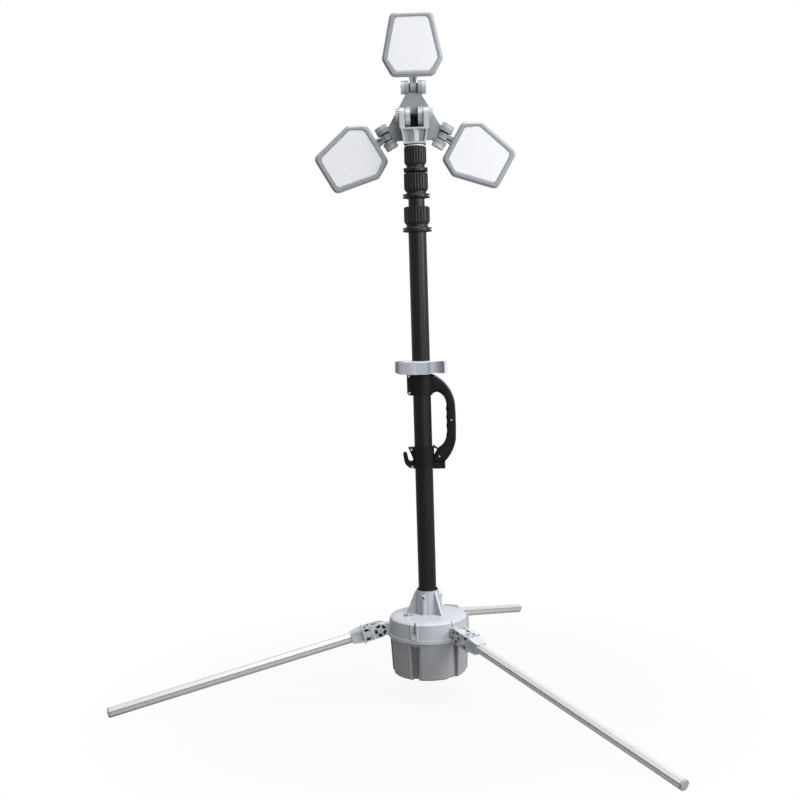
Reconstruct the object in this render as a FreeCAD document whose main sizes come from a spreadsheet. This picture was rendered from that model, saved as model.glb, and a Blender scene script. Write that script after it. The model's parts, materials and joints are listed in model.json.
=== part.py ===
import FreeCAD, Part
import math
import os
import re
import Sketcher

# Portable lifting work light on three folding legs, with a telescopic mast and three lamp heads.
# Millimetres. Origin: centre of the housing's flat underside, on the mast's axis. +Z up,
# the lamps face -Y and the carrying handle stands out to +X.

SIZES = [
    # housing
    ("bucket_base_radius", 87.4),
    ("bucket_top_radius", 92.0),
    ("bucket_height", 89.0),
    ("bucket_wall", 4.0),
    ("bucket_floor", 5.0),
    ("bucket_chamfer", 4.0),
    ("channel_width", 20.0),
    ("channel_foot_depth", 4.0),
    ("channel_head_depth", 9.0),
    ("channel_top", 82.0),
    ("channel_rim_width", 9.0),
    ("channel_rim_rise", 0.6),
    ("hinge_recess_radius", 22.0),
    ("hinge_recess_depth", 6.2),
    ("hinge_recess_half", 15.5),
    ("recess_backing", 4.0),
    ("battery_width", 100.0),
    ("battery_height", 96.0),
    # lid
    ("lip_radius", 95.5),
    ("lip_height", 8.0),
    ("lid_base_radius", 92.2),
    ("lid_top_radius", 90.8),
    ("lid_height", 46.0),
    ("lid_edge_chamfer", 3.0),
    ("lid_wall", 4.0),
    ("crown_radius", 70.0),
    ("crown_rise", 6.0),
    ("lid_boss_width", 15.0),
    ("lid_boss_rise", 4.4),
    ("lid_slot_width", 5.2),
    ("lid_slot_foot", 12.0),
    ("stop_fin_width", 3.6),
    ("stop_fin_reach", 92.9),
    ("stop_fin_overlap", 4.0),
    ("button_x", -52.0),
    ("button_y", -30.0),
    ("button_radius", 6.0),
    ("button_rise", 3.0),
    # leg hinge
    ("leg_azimuth", 188.7),
    ("hinge_reach", 117.0),
    ("hinge_rise", 108.0),
    ("hinge_pin_radius", 5.0),
    ("hinge_boss_radius", 14.0),
    ("tongue_width", 21.0),
    ("tongue_drop", 14.0),
    ("running_gap", 0.05),
    ("hinge_side_gap", 0.5),
    # legs
    ("leg_slope", 13.6),
    ("leg_length", 654.4),
    ("leg_width", 22.0),
    ("leg_corner", 6.2),
    ("leg_wall", 2.0),
    ("leg_start", 22.0),
    ("plug_cap", 6.0),
    ("plug_depth", 20.0),
    ("plug_gap", 0.1),
    ("cheek_thickness", 6.0),
    ("cheek_radius", 16.0),
    ("socket_length", 70.0),
    ("socket_half_height", 16.6),
    ("nose_half_height", 12.6),
    ("rear_flange_half_height", 17.2),
    ("front_flange_half_height", 19.5),
    ("flange_half_width", 18.5),
    ("flange_thickness", 3.0),
    ("rear_flange_place", 19.5),
    ("front_flange_place", 39.0),
    ("lock_pin_place", 28.0),
    ("lock_pin_radius", 3.0),
    ("lock_boss_radius", 7.0),
    ("lock_boss_rise", 1.2),
    ("spoke_inner", 8.8),
    ("spoke_outer", 13.4),
    ("spoke_half_angle", 22.0),
    ("spoke_depth", 1.6),
    ("spoke_count", 6),
    ("window_start", 24.0),
    ("window_end", 37.5),
    ("window_low", 8.4),
    ("window_high", 13.4),
    ("window_half", 12.0),
    ("window_rib", 3.0),
    ("nose_half_width", 13.4),
    ("nose_panel_start", 43.0),
    ("nose_panel_end", 66.0),
    ("nose_panel_half", 8.5),
    ("pin_head_radius", 8.0),
    ("pin_head_thickness", 2.0),
    # mast socket
    ("socket_top", 196.0),
    ("socket_base_radius", 30.0),
    ("socket_top_radius", 27.0),
    ("gusset_reach", 51.0),
    ("gusset_toe", 2.5),
    ("gusset_top_drop", 3.0),
    ("gusset_thickness", 5.0),
    ("screw_boss_place", 27.4),
    ("screw_boss_radius", 6.2),
    ("screw_hood_drop", 14.0),
    ("screw_hole_radius", 3.0),
    ("seal_height", 4.0),
    ("seal_radius", 25.0),
    # mast
    ("mast_radius", 21.0),
    ("tube_wall", 1.8),
    ("tube_gap", 0.3),
    ("lower_collar_base", 1037.0),
    ("lower_knob_lift", 18.0),
    ("lower_knob_height", 40.0),
    ("middle_collar_lift", 19.0),
    ("middle_knob_lift", 16.0),
    ("upper_collar_lift", 1.5),
    ("upper_knob_lift", 16.5),
    ("knob_height", 42.0),
    ("collar_height", 11.0),
    ("collar_chamfer", 2.5),
    ("ear_slit", 2.0),
    ("neck_reach", 18.0),
    ("collar_thickness", 9.2),
    ("ear_reach", 7.5),
    ("ear_width", 12.0),
    ("neck_thickness", 4.0),
    ("knob_thickness", 9.0),
    ("knob_foot_taper", 3.4),
    ("knob_foot_height", 6.0),
    ("knob_top_chamfer", 2.5),
    ("knob_clearance", 2.0),
    ("flute_depth", 1.6),
    ("flute_foot_half", 0.8),
    ("flute_mouth_half", 1.9),
    ("flute_count", 24),
    ("mast_foot_gap", 5.0),
    # leg cradle and handle
    ("cradle_height", 29.0),
    ("cradle_radius", 60.0),
    ("cradle_chamfer", 1.5),
    ("notch_radius", 22.0),
    ("cradle_flat_turn", 83.6),
    ("cradle_flat_place", 57.9),
    ("upper_clamp_base", 658.7),
    ("upper_clamp_height", 51.3),
    ("lower_clamp_base", 487.0),
    ("lower_clamp_height", 50.0),
    ("clamp_radius", 25.0),
    ("clamp_gap", 0.05),
    ("clamp_ear_reach", 34.5),
    ("clamp_ear_width", 20.0),
    ("clamp_ear_round", 8.0),
    ("handle_width", 22.0),
    ("handle_reach", 79.0),
    ("grip_depth", 23.0),
    ("grip_outer_chamfer", 6.0),
    ("grip_top_drop", 2.0),
    ("grip_top_root", 46.0),
    ("grip_foot_rise", 14.3),
    ("grip_foot_root", 28.0),
    ("grip_shoulder_drop", 85.0),
    ("grip_heel_rise", 73.0),
    ("grip_upper_curve", 85.0),
    ("grip_lower_curve", 93.0),
    ("grip_root_step", 8.0),
    ("finger_start_drop", 65.0),
    ("finger_pitch", 20.0),
    ("finger_curve", 32.0),
    ("finger_upper_curve", 28.0),
    ("finger_lower_curve", 34.0),
    ("stud_reach", 50.0),
    ("stud_drop", 2.0),
    ("stud_height", 16.0),
    ("stud_width", 18.0),
    ("hook_ear_reach", 36.0),
    ("hook_root", 24.6),
    ("hook_root_rise", 21.0),
    ("hook_pocket_curve", 5.9),
    ("hook_inside", 35.5),
    ("hook_inside_rise", 20.0),
    ("hook_reach", 48.4),
    ("hook_thickness", 9.6),
    ("hook_rise", 34.0),
    ("hook_elbow", 45.7),
    ("hook_elbow_rise", 17.0),
    ("hook_curve", 24.0),
    ("hook_foot", 30.0),
    ("hook_width", 14.0),
    # head bracket
    ("bracket_lift", 5.0),
    ("bracket_height", 37.0),
    ("shelf_thickness", 4.0),
    ("bracket_base_half", 25.5),
    ("bracket_shelf_half", 31.0),
    ("bracket_front", 20.0),
    ("bracket_back", 16.5),
    ("bracket_wall", 4.0),
    ("bracket_rib", 4.0),
    ("bracket_pocket", 3.0),
    ("tilt_lift", 31.0),
    ("cheek_outer", 34.0),
    ("cheek_inner", 21.5),
    ("tilt_cheek_radius", 16.0),
    ("tilt_pin_radius", 5.0),
    ("tilt_knob_radius", 14.8),
    ("tilt_knob_thickness", 9.0),
    ("tilt_flute_half", 1.1),
    ("tilt_flute_depth", 1.4),
    ("tilt_flute_count", 18),
    ("tilt_bolt_spare", 1.0),
    ("tilt_tongue_outer", 21.0),
    ("tilt_tongue_inner", 9.0),
    # head plate
    ("tilt_above_centre", 10.0),
    ("tongue_root_half", 24.0),
    ("tongue_eye_radius", 12.0),
    ("plate_front", 22.0),
    ("plate_thickness", 5.0),
    ("plate_end_radius", 60.0),
    ("plate_end_half", 19.0),
    ("lamp_pin_reach", 75.5),
    ("ear_root", 6.0),
    ("ear_inner", 10.5),
    ("ear_outer", 20.0),
    ("ear_radius", 15.5),
    ("lamp_pin_radius", 4.0),
    ("lamp_cap_radius", 15.0),
    ("lamp_cap_thickness", 9.0),
    ("cap_groove_width", 2.6),
    ("cap_groove_depth", 1.5),
    ("lamp_pin_spare", 1.0),
    # lamp heads
    ("stem_length", 27.0),
    ("stem_half", 8.5),
    ("stem_thickness", 14.0),
    ("barrel_radius", 11.0),
    ("barrel_half", 10.2),
    ("ear_web_gap", 0.7),
    ("lamp_near_inset", 0.75),
    ("lamp_far_inset", 0.85),
    ("lamp_near_half", 47.0),
    ("lamp_wide_half", 71.0),
    ("lamp_far_half", 46.0),
    ("lamp_wide_place", 41.0),
    ("lamp_length", 144.0),
    ("lamp_front", 12.0),
    ("bezel_depth", 14.0),
    ("bezel_width", 12.0),
    ("bezel_corner", 9.0),
    ("lens_corner", 5.0),
    ("bezel_chamfer", 2.0),
    ("lens_recess", 1.0),
    ("back_chamfer", 5.0),
    ("back_groove_width", 5.0),
    ("back_groove_depth", 3.5),
    ("back_groove_half", 34.0),
    ("back_groove_start", 28.0),
    ("back_groove_pitch", 14.0),
    ("back_groove_count", 8),
    ("lamp_depth", 30.0),
    ("lamp_wall", 3.0),
    ("lens_thickness", 4.0),
    ("lens_gap", 0.2),
]

LEGS = [("left", 0), ("front", 120), ("rear", 240)]
LAMPS = [("top", 0), ("left", 240), ("right", 120)]

doc = FreeCAD.newDocument("WorkLight")
sheet = doc.addObject("Spreadsheet::Sheet", "Sizes")
for row, (alias, value) in enumerate(SIZES, start=1):
    sheet.set("A%d" % row, str(value))
    sheet.setAlias("A%d" % row, alias)
doc.recompute()

FINGERS = 4
NAMES = {alias for alias, value in SIZES}
SAME_PLACE = 1e-4
nodes = []

# Heights that follow from the outer tube's collar, up the locks to the head.
LOWER_KNOB = "(lower_collar_base + lower_knob_lift)"
MIDDLE_COLLAR = "(%s + lower_knob_height + middle_collar_lift)" % LOWER_KNOB
MIDDLE_KNOB = "(%s + middle_knob_lift)" % MIDDLE_COLLAR
UPPER_COLLAR = "(%s + knob_height + upper_collar_lift)" % MIDDLE_KNOB
UPPER_KNOB = "(%s + upper_knob_lift)" % UPPER_COLLAR
BRACKET_BASE = "(%s + knob_height + bracket_lift)" % UPPER_KNOB
BRACKET_SHELF = "(%s + bracket_height)" % BRACKET_BASE
TILT_RISE = "(%s + tilt_lift)" % BRACKET_SHELF
PLATE_CENTRE = "(%s - tilt_above_centre)" % TILT_RISE
PLATE_MIDDLE = "(plate_front + plate_thickness / 2)"
CRADLE_BASE = "(upper_clamp_base + upper_clamp_height)"
LID_FACE = "(bucket_height + lid_height + crown_rise)"

# Outside radii of the three inner mast tubes.
SECOND = "(mast_radius - tube_wall - tube_gap)"
THIRD = "(mast_radius - 2 * tube_wall - 2 * tube_gap)"
FOURTH = "(mast_radius - 3 * tube_wall - 3 * tube_gap)"

# Outside faces of the leg sockets' cheeks, and the gap between them.
CHEEK_INSIDE = "(tongue_width / 2 + hinge_side_gap)"
CHEEK_OUTSIDE = "(tongue_width / 2 + hinge_side_gap + cheek_thickness)"


def cells(text):
    """An expression in plain size names, rewritten to read the sheet."""
    return re.sub(r"[a-z]\w*", lambda found: "Sizes." + found.group(0)
                  if found.group(0) in NAMES else found.group(0), str(text))


def value_of(text):
    """The present value of an expression, for a sketch's first guess."""
    result = sheet.evalExpression(cells(text))
    return float(getattr(result, "Value", result))


def place(thing, x="0", y="0", z="0", yaw="0", pitch="0", roll="0"):
    """Places a sub-part by expressions: turned about Z, then Y, then X."""
    thing.setExpression("Placement", cells("placement(vector(%s; %s; %s); rotation(%s; %s; %s))"
                                           % (x, y, z, yaw, pitch, roll)))
    return thing


def node(thing, label):
    thing.Label = label
    nodes.append(thing)
    return thing


def new_body(label):
    return node(doc.addObject("PartDesign::Body", "Body_" + label), label)


def plane_of(body, role):
    return next(plane for plane in body.Origin.OriginFeatures if plane.Role == role)


def sketch_on(body, role, offset="0"):
    """A sketch on one of the body's own planes, moved along its normal."""
    sketch = body.newObject("Sketcher::SketchObject", "Sketch")
    sketch.AttachmentSupport = [(plane_of(body, role), "")]
    sketch.MapMode = "FlatFace"
    sketch.setExpression("AttachmentOffset.Base.z", cells(offset))
    return sketch


def arc_between(start, end, radius):
    """An arc of less than half a turn: to the left of the chord where the radius is negative."""
    chord = end - start
    half = chord.Length / 2
    reach = math.sqrt(max(radius * radius - half * half, 0.0))
    side = FreeCAD.Vector(-chord.y, chord.x, 0).normalize()
    sign = 1 if radius > 0 else -1
    centre = (start + end) / 2 + side * reach * sign
    middle = centre - side * abs(radius) * sign
    return Part.Arc(start, middle, end)


def outline(sketch, corners):
    """A closed outline through corners (x, y) or (x, y, radius of the arc to the next corner)."""
    points = [FreeCAD.Vector(value_of(corner[0]), value_of(corner[1]), 0) for corner in corners]
    first = sketch.GeometryCount
    count = len(corners)
    ends = []
    for index, corner in enumerate(corners):
        start = points[index]
        end = points[(index + 1) % count]
        if len(corner) > 2:
            piece = sketch.addGeometry(arc_between(start, end, value_of(corner[2])), False)
            begins_first = sketch.getPoint(piece, 1).distanceToPoint(start) < SAME_PLACE
            ends.append((1, 2) if begins_first else (2, 1))
        else:
            sketch.addGeometry(Part.LineSegment(start, end), False)
            ends.append((1, 2))
    for index, corner in enumerate(corners):
        piece = first + index
        after = first + (index + 1) % count
        start_point = ends[index][0]
        sketch.addConstraint(Sketcher.Constraint("Coincident", piece, ends[index][1],
                                                 after, ends[(index + 1) % count][0]))
        for kind, text, coordinate in (("DistanceX", corner[0], points[index].x),
                                       ("DistanceY", corner[1], points[index].y)):
            number = sketch.addConstraint(Sketcher.Constraint(kind, -1, 1, piece, start_point, coordinate))
            sketch.setExpression("Constraints[%d]" % number, cells(text))
        if len(corner) > 2:
            number = sketch.addConstraint(Sketcher.Constraint("Radius", piece, abs(value_of(corner[2]))))
            sketch.setExpression("Constraints[%d]" % number, cells("abs(%s)" % corner[2]))
    return sketch


def circle(sketch, x, y, radius):
    middle = FreeCAD.Vector(value_of(x), value_of(y), 0)
    piece = sketch.addGeometry(Part.Circle(middle, FreeCAD.Vector(0, 0, 1), value_of(radius)), False)
    for kind, text, coordinate in (("DistanceX", x, middle.x), ("DistanceY", y, middle.y)):
        number = sketch.addConstraint(Sketcher.Constraint(kind, -1, 1, piece, 3, coordinate))
        sketch.setExpression("Constraints[%d]" % number, cells(text))
    number = sketch.addConstraint(Sketcher.Constraint("Radius", piece, value_of(radius)))
    sketch.setExpression("Constraints[%d]" % number, cells(radius))
    return sketch


def rectangle(sketch, left, bottom, right, top):
    return outline(sketch, [(left, bottom), (right, bottom), (right, top), (left, top)])


def pad(body, sketch, length, both=False, back=False):
    feature = body.newObject("PartDesign::Pad", "Pad")
    feature.Profile = sketch
    feature.setExpression("Length", cells(length))
    feature.Midplane = both
    feature.Reversed = back
    return feature


def pocket(body, sketch, length, both=False, back=False):
    """Cuts by a length against the sketch's normal, or along it where back is set."""
    feature = body.newObject("PartDesign::Pocket", "Pocket")
    feature.Profile = sketch
    feature.setExpression("Length", cells(length))
    feature.Midplane = both
    feature.Reversed = back
    return feature


def revolve(body, corners, groove=False):
    """A full turn about Z of an outline in (radius, height)."""
    sketch = outline(sketch_on(body, "XZ_Plane"), corners)
    feature = body.newObject("PartDesign::Groove" if groove else "PartDesign::Revolution", "Turn")
    feature.Profile = sketch
    feature.ReferenceAxis = (sketch, ["V_Axis"])
    feature.Angle = 360
    return feature


def axis_of(body, role):
    return next(line for line in body.Origin.OriginFeatures if line.Role == role)


def around(body, features, count, axis="Z_Axis"):
    """Repeats features evenly about one of the body's axes."""
    pattern = body.newObject("PartDesign::PolarPattern", "Around")
    pattern.Originals = features
    pattern.Axis = (axis_of(body, axis), [""])
    pattern.Angle = 360
    pattern.setExpression("Occurrences", cells(count))
    body.Tip = pattern
    return pattern


def in_a_row(body, features, axis, pitch, count):
    """Repeats features along one of the body's axes, a pitch apart."""
    pattern = body.newObject("PartDesign::LinearPattern", "Row")
    pattern.Originals = features
    pattern.Direction = (axis_of(body, axis), [""])
    pattern.setExpression("Length", cells("%s * (%s - 1)" % (pitch, count)))
    pattern.setExpression("Occurrences", cells(count))
    body.Tip = pattern
    return pattern


def upright_edges(feature, corners):
    """Names of the edges along Y that stand on an outline's corners."""
    doc.recompute()
    spots = [(value_of(corner[0]), value_of(corner[1])) for corner in corners]
    names = []
    for number, edge in enumerate(feature.Shape.Edges, start=1):
        ends = [vertex.Point for vertex in edge.Vertexes]
        if any(all(math.hypot(end.x - x, end.z - z) < SAME_PLACE for end in ends) for x, z in spots):
            names.append("Edge%d" % number)
    return names


def rim_edges(feature, *levels):
    """Names of the edges round the flat faces that lie at these levels along Y."""
    doc.recompute()
    rims = []
    for level in levels:
        flat = [face for face in feature.Shape.Faces
                if abs(face.BoundBox.YMin - value_of(level)) < SAME_PLACE
                and abs(face.BoundBox.YMax - value_of(level)) < SAME_PLACE]
        rims.extend(max(flat, key=lambda face: face.BoundBox.DiagonalLength).OuterWire.Edges)
    return ["Edge%d" % number for number, edge in enumerate(feature.Shape.Edges, start=1)
            if any(edge.isSame(other) for other in rims)]


def fillet(body, feature, names, radius):
    finish = body.newObject("PartDesign::Fillet", "Fillet")
    finish.Base = (feature, names)
    finish.setExpression("Radius", cells(radius))
    return finish


def chamfer(body, feature, names, size):
    finish = body.newObject("PartDesign::Chamfer", "Chamfer")
    finish.Base = (feature, names)
    finish.setExpression("Size", cells(size))
    return finish


def octagon(half, corner):
    """Corners of a square tube with cut corners, in half widths."""
    inner = "(%s - %s)" % (half, corner)
    outer = "(%s)" % half
    return [(inner, "-" + outer), (outer, "-" + inner), (outer, inner), (inner, outer),
            ("-" + inner, outer), ("-" + outer, inner), ("-" + outer, "-" + inner), ("-" + inner, "-" + outer)]


def bucket():
    """The battery bucket: a slight taper, three rimmed channels and three dished grooves."""
    shell = new_body("bucket")
    revolve(shell, [
        ("0", "0"), ("bucket_base_radius - bucket_chamfer", "0"), ("bucket_base_radius", "bucket_chamfer"),
        ("bucket_top_radius", "bucket_height"), ("bucket_top_radius - bucket_wall", "bucket_height"),
        ("bucket_base_radius - bucket_wall", "bucket_floor"), ("0", "bucket_floor")])
    rim_top = "channel_top + recess_backing"
    rim = sketch_on(shell, "XZ_Plane")
    outline(rim, [
        ("-(bucket_base_radius + channel_rim_rise)", "bucket_chamfer"),
        ("-(bucket_base_radius - channel_foot_depth - recess_backing)", "bucket_chamfer"),
        ("-(bucket_top_radius - channel_head_depth - recess_backing)", rim_top),
        ("-(bucket_top_radius + channel_rim_rise)", rim_top)])
    rims = pad(shell, rim, "channel_width + 2 * channel_rim_width", both=True)
    backing = sketch_on(shell, "XY_Plane", "bucket_floor")
    rectangle(backing, "bucket_base_radius - hinge_recess_depth - recess_backing",
              "-hinge_recess_half - recess_backing", "bucket_base_radius - bucket_wall",
              "hinge_recess_half + recess_backing")
    backings = pad(shell, backing, "bucket_height - bucket_floor")
    around(shell, [rims, backings], 3)
    channel = sketch_on(shell, "XZ_Plane")
    outline(channel, [
        ("-(bucket_top_radius + bucket_wall)", "-bucket_floor"),
        ("-(bucket_base_radius - channel_foot_depth)", "-bucket_floor"),
        ("-(bucket_top_radius - channel_head_depth)", "channel_top"),
        ("-(bucket_top_radius + bucket_wall)", "channel_top")])
    channels = pocket(shell, channel, "channel_width", both=True)
    groove = circle(sketch_on(shell, "XY_Plane"), "bucket_base_radius - hinge_recess_depth + hinge_recess_radius",
                    "0", "hinge_recess_radius")
    grooves = pocket(shell, groove, "bucket_height", back=True)
    around(shell, [channels, grooves], 3)
    place(shell, yaw="leg_azimuth")

    pack = node(doc.addObject("Part::Box", "Pack"), "battery_pack")
    pack.setExpression("Length", cells("battery_width"))
    pack.setExpression("Width", cells("battery_width"))
    pack.setExpression("Height", cells("battery_height"))
    place(pack, x="-battery_width / 2", y="-battery_width / 2", z="bucket_floor")


def lid():
    """The lid: rolled lip, crown, slotted screw bosses, and the tongues that the legs hang on."""
    shell = new_body("lid")
    lip_top = "bucket_height + lip_height"
    shoulder = "bucket_height + lid_height"
    revolve(shell, [
        ("lid_base_radius - lid_wall", "bucket_height"), ("lip_radius", "bucket_height"),
        ("lip_radius", lip_top), ("lid_base_radius", lip_top),
        ("lid_top_radius", shoulder + " - lid_edge_chamfer"), ("lid_top_radius - lid_edge_chamfer", shoulder),
        ("crown_radius", LID_FACE), ("0", LID_FACE),
        ("0", LID_FACE + " - lid_wall"), ("crown_radius", LID_FACE + " - lid_wall"),
        ("lid_top_radius - lid_wall - lid_edge_chamfer", shoulder + " - lid_wall"),
        ("lid_top_radius - lid_wall", shoulder + " - lid_wall - lid_edge_chamfer")])
    web = sketch_on(shell, "XZ_Plane")
    rectangle(web, "lid_top_radius - lid_wall / 2", "hinge_rise - tongue_drop", "hinge_reach",
              "hinge_rise + hinge_boss_radius")
    webs = pad(shell, web, "tongue_width", both=True)
    eye = circle(sketch_on(shell, "XZ_Plane"), "hinge_reach", "hinge_rise", "hinge_boss_radius")
    eyes = pad(shell, eye, "tongue_width", both=True)
    fin = sketch_on(shell, "XZ_Plane")
    fin_foot = "hinge_rise + hinge_boss_radius - stop_fin_overlap"
    outline(fin, [
        ("lid_top_radius - lid_wall / 2", fin_foot), ("stop_fin_reach", fin_foot),
        ("stop_fin_reach", shoulder + " - lid_edge_chamfer"),
        ("lid_top_radius - lid_edge_chamfer", shoulder + " + lid_edge_chamfer"),
        ("lid_top_radius - 2 * lid_wall", shoulder)])
    fins = pad(shell, fin, "stop_fin_width", both=True)
    boss_face = "(lid_base_radius + lid_boss_rise)"
    boss_depth = boss_face + " - lid_top_radius + lid_wall"
    panel = sketch_on(shell, "YZ_Plane", "-" + boss_face)
    rectangle(panel, "-lid_boss_width / 2", lip_top, "lid_boss_width / 2", shoulder + " - lid_edge_chamfer")
    panels = pad(shell, panel, boss_depth)
    foot = circle(sketch_on(shell, "YZ_Plane", "-" + boss_face), "0", lip_top, "lid_boss_width / 2")
    feet = pad(shell, foot, boss_depth)
    around(shell, [webs, eyes, fins, panels, feet], 3)
    bore = circle(sketch_on(shell, "XZ_Plane"), "hinge_reach", "hinge_rise", "hinge_pin_radius + running_gap")
    bores = pocket(shell, bore, "tongue_width + 2 * cheek_thickness", both=True)
    slot = sketch_on(shell, "XY_Plane", lip_top + " + lid_slot_foot")
    rectangle(slot, "-(lid_base_radius + 2 * lid_boss_rise)", "-lid_slot_width / 2",
              "-(lid_top_radius - lid_wall / 2)", "lid_slot_width / 2")
    slots = pocket(shell, slot, "lid_height", back=True)
    around(shell, [bores, slots], 3)
    place(shell, yaw="leg_azimuth")

    controls = new_body("lid_controls")
    pad(controls, circle(sketch_on(controls, "XY_Plane", LID_FACE), "button_x", "button_y", "button_radius"),
        "button_rise")


def mast_foot():
    """The tapered socket that holds the mast, with gussets and hooded screw bosses, and its seal."""
    foot = new_body("mast_socket")
    bore = "mast_radius + running_gap"
    root = "mast_radius + tube_wall"
    revolve(foot, [(bore, LID_FACE), ("socket_base_radius", LID_FACE), ("socket_top_radius", "socket_top"),
                   (bore, "socket_top")])
    gusset = sketch_on(foot, "XZ_Plane")
    outline(gusset, [
        (root, LID_FACE), ("gusset_reach", LID_FACE), ("gusset_reach", LID_FACE + " + gusset_toe"),
        ("socket_top_radius + gusset_toe", "socket_top - gusset_top_drop"),
        (root, "socket_top - gusset_top_drop")])
    gussets = pad(foot, gusset, "gusset_thickness", both=True)
    hood_rise = "(socket_top - screw_hood_drop)"
    post = circle(sketch_on(foot, "XY_Plane", LID_FACE), "-screw_boss_place", "0", "screw_boss_radius")
    posts = pad(foot, post, hood_rise + " - " + LID_FACE)
    front = "-(screw_boss_place + screw_boss_radius)"
    hood = circle(sketch_on(foot, "YZ_Plane", front), "0", hood_rise, "screw_boss_radius")
    hoods = pad(foot, hood, "2 * screw_boss_radius")
    around(foot, [gussets, posts, hoods], 3)
    hole = circle(sketch_on(foot, "YZ_Plane", front), "0", hood_rise, "screw_hole_radius")
    holes = pocket(foot, hole, "screw_boss_radius", back=True)
    around(foot, [holes], 3)
    place(foot, yaw="leg_azimuth")

    seal = new_body("mast_seal")
    revolve(seal, [(bore, "socket_top"), ("seal_radius", "socket_top"),
                   (root, "socket_top + seal_height"), (bore, "socket_top + seal_height")])


def tube(label, radius, base, top):
    body = new_body(label)
    revolve(body, [("%s - tube_wall" % radius, base), (radius, base), (radius, top), ("%s - tube_wall" % radius, top)])


def collar(word, radius, base, knob_base):
    """The split collar on a tube's end: a band, two eyed lugs and the neck that the knob turns on."""
    ring = new_body(word + "_collar")
    bore = "%s + clamp_gap" % radius
    neck = "%s + neck_thickness" % radius
    band = "%s + collar_thickness" % radius
    top = "%s + collar_height" % base
    revolve(ring, [
        (bore, base), (band + " - collar_chamfer", base), (band, base + " + collar_chamfer"),
        (band, top + " - collar_chamfer"), (band + " - collar_chamfer", top), (neck, top),
        (neck, knob_base + " + neck_reach"), (bore, knob_base + " + neck_reach")])
    for side in ("", "-"):
        lug = circle(sketch_on(ring, "XZ_Plane"), "%s(%s + ear_reach / 2 - collar_height / 2)" % (side, band),
                     base + " + collar_height / 2", "collar_height / 2")
        pad(ring, lug, "ear_width", both=True)
        slit = sketch_on(ring, "XY_Plane", base)
        rectangle(slit, "%s(%s + ear_reach)" % (side, band), "-ear_slit / 2",
                  "%s(%s)" % (side, neck), "ear_slit / 2")
        pocket(ring, slit, "collar_height - collar_chamfer / 2", back=True)


def knob(word, radius, base, height):
    """The ribbed hand knob that tightens a collar: tapered foot, domed rim, flutes all round."""
    grip = new_body(word + "_knob")
    neck_gap = "%s + neck_thickness + clamp_gap" % radius
    rim = "%s + knob_thickness" % radius
    mouth = "%s - tube_wall" % radius
    top = "%s + %s" % (base, height)
    step = base + " + neck_reach + knob_clearance"
    revolve(grip, [
        (neck_gap, base), (rim + " - knob_foot_taper", base), (rim, base + " + knob_foot_height"),
        (rim, top + " - knob_top_chamfer"), (rim + " - knob_top_chamfer", top), (mouth, top),
        (mouth, step), (neck_gap, step)])
    flute = sketch_on(grip, "XY_Plane", base)
    outline(flute, [
        (rim + " - flute_depth", "-flute_foot_half"), (rim + " + flute_depth", "-flute_mouth_half"),
        (rim + " + flute_depth", "flute_mouth_half"), (rim + " - flute_depth", "flute_foot_half")])
    flutes = pocket(grip, flute, height, back=True)
    around(grip, [flutes], "flute_count")


def mast():
    """Four nested tubes with three twist locks, each lock on the top of the tube outside."""
    inner_foot = "(%s + mast_foot_gap)" % LID_FACE
    tube("mast_tube_outer", "mast_radius", LID_FACE, LOWER_KNOB + " + neck_reach")
    tube("mast_tube_second", SECOND, inner_foot, MIDDLE_KNOB + " + neck_reach")
    tube("mast_tube_third", THIRD, inner_foot, UPPER_KNOB + " + neck_reach")
    tube("mast_tube_top", FOURTH, inner_foot, BRACKET_SHELF + " - shelf_thickness")
    for word, radius, collar_base, knob_base, height in (
            ("lower", "mast_radius", "lower_collar_base", LOWER_KNOB, "lower_knob_height"),
            ("middle", SECOND, MIDDLE_COLLAR, MIDDLE_KNOB, "knob_height"),
            ("upper", THIRD, UPPER_COLLAR, UPPER_KNOB, "knob_height")):
        collar(word, radius, collar_base, knob_base)
        knob(word, radius, knob_base, height)


def leg_cradle():
    """The alloy plate on the mast: a notch for each folded leg and a flat land beside each notch."""
    cradle = new_body("leg_cradle")
    cradle_top = CRADLE_BASE + " + cradle_height"
    revolve(cradle, [
        ("mast_radius + clamp_gap", CRADLE_BASE), ("cradle_radius - cradle_chamfer", CRADLE_BASE),
        ("cradle_radius", CRADLE_BASE + " + cradle_chamfer"), ("cradle_radius", cradle_top + " - cradle_chamfer"),
        ("cradle_radius - cradle_chamfer", cradle_top), ("mast_radius + clamp_gap", cradle_top)])
    notch = circle(sketch_on(cradle, "XY_Plane", CRADLE_BASE), "cradle_radius", "0", "notch_radius")
    notches = pocket(cradle, notch, "cradle_height", back=True)
    flat = sketch_on(cradle, "XY_Plane", CRADLE_BASE)
    outline(flat, [
        ("%s * cos(cradle_flat_turn) - %s * sin(cradle_flat_turn)" % (out, along),
         "%s * sin(cradle_flat_turn) + %s * cos(cradle_flat_turn)" % (out, along))
        for out, along in (("cradle_flat_place", "-notch_radius"), ("cradle_radius", "-notch_radius"),
                           ("cradle_radius", "notch_radius"), ("cradle_flat_place", "notch_radius"))])
    flats = pocket(cradle, flat, "cradle_height", back=True)
    around(cradle, [notches, flats], 3)
    place(cradle, yaw="leg_azimuth")


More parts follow.
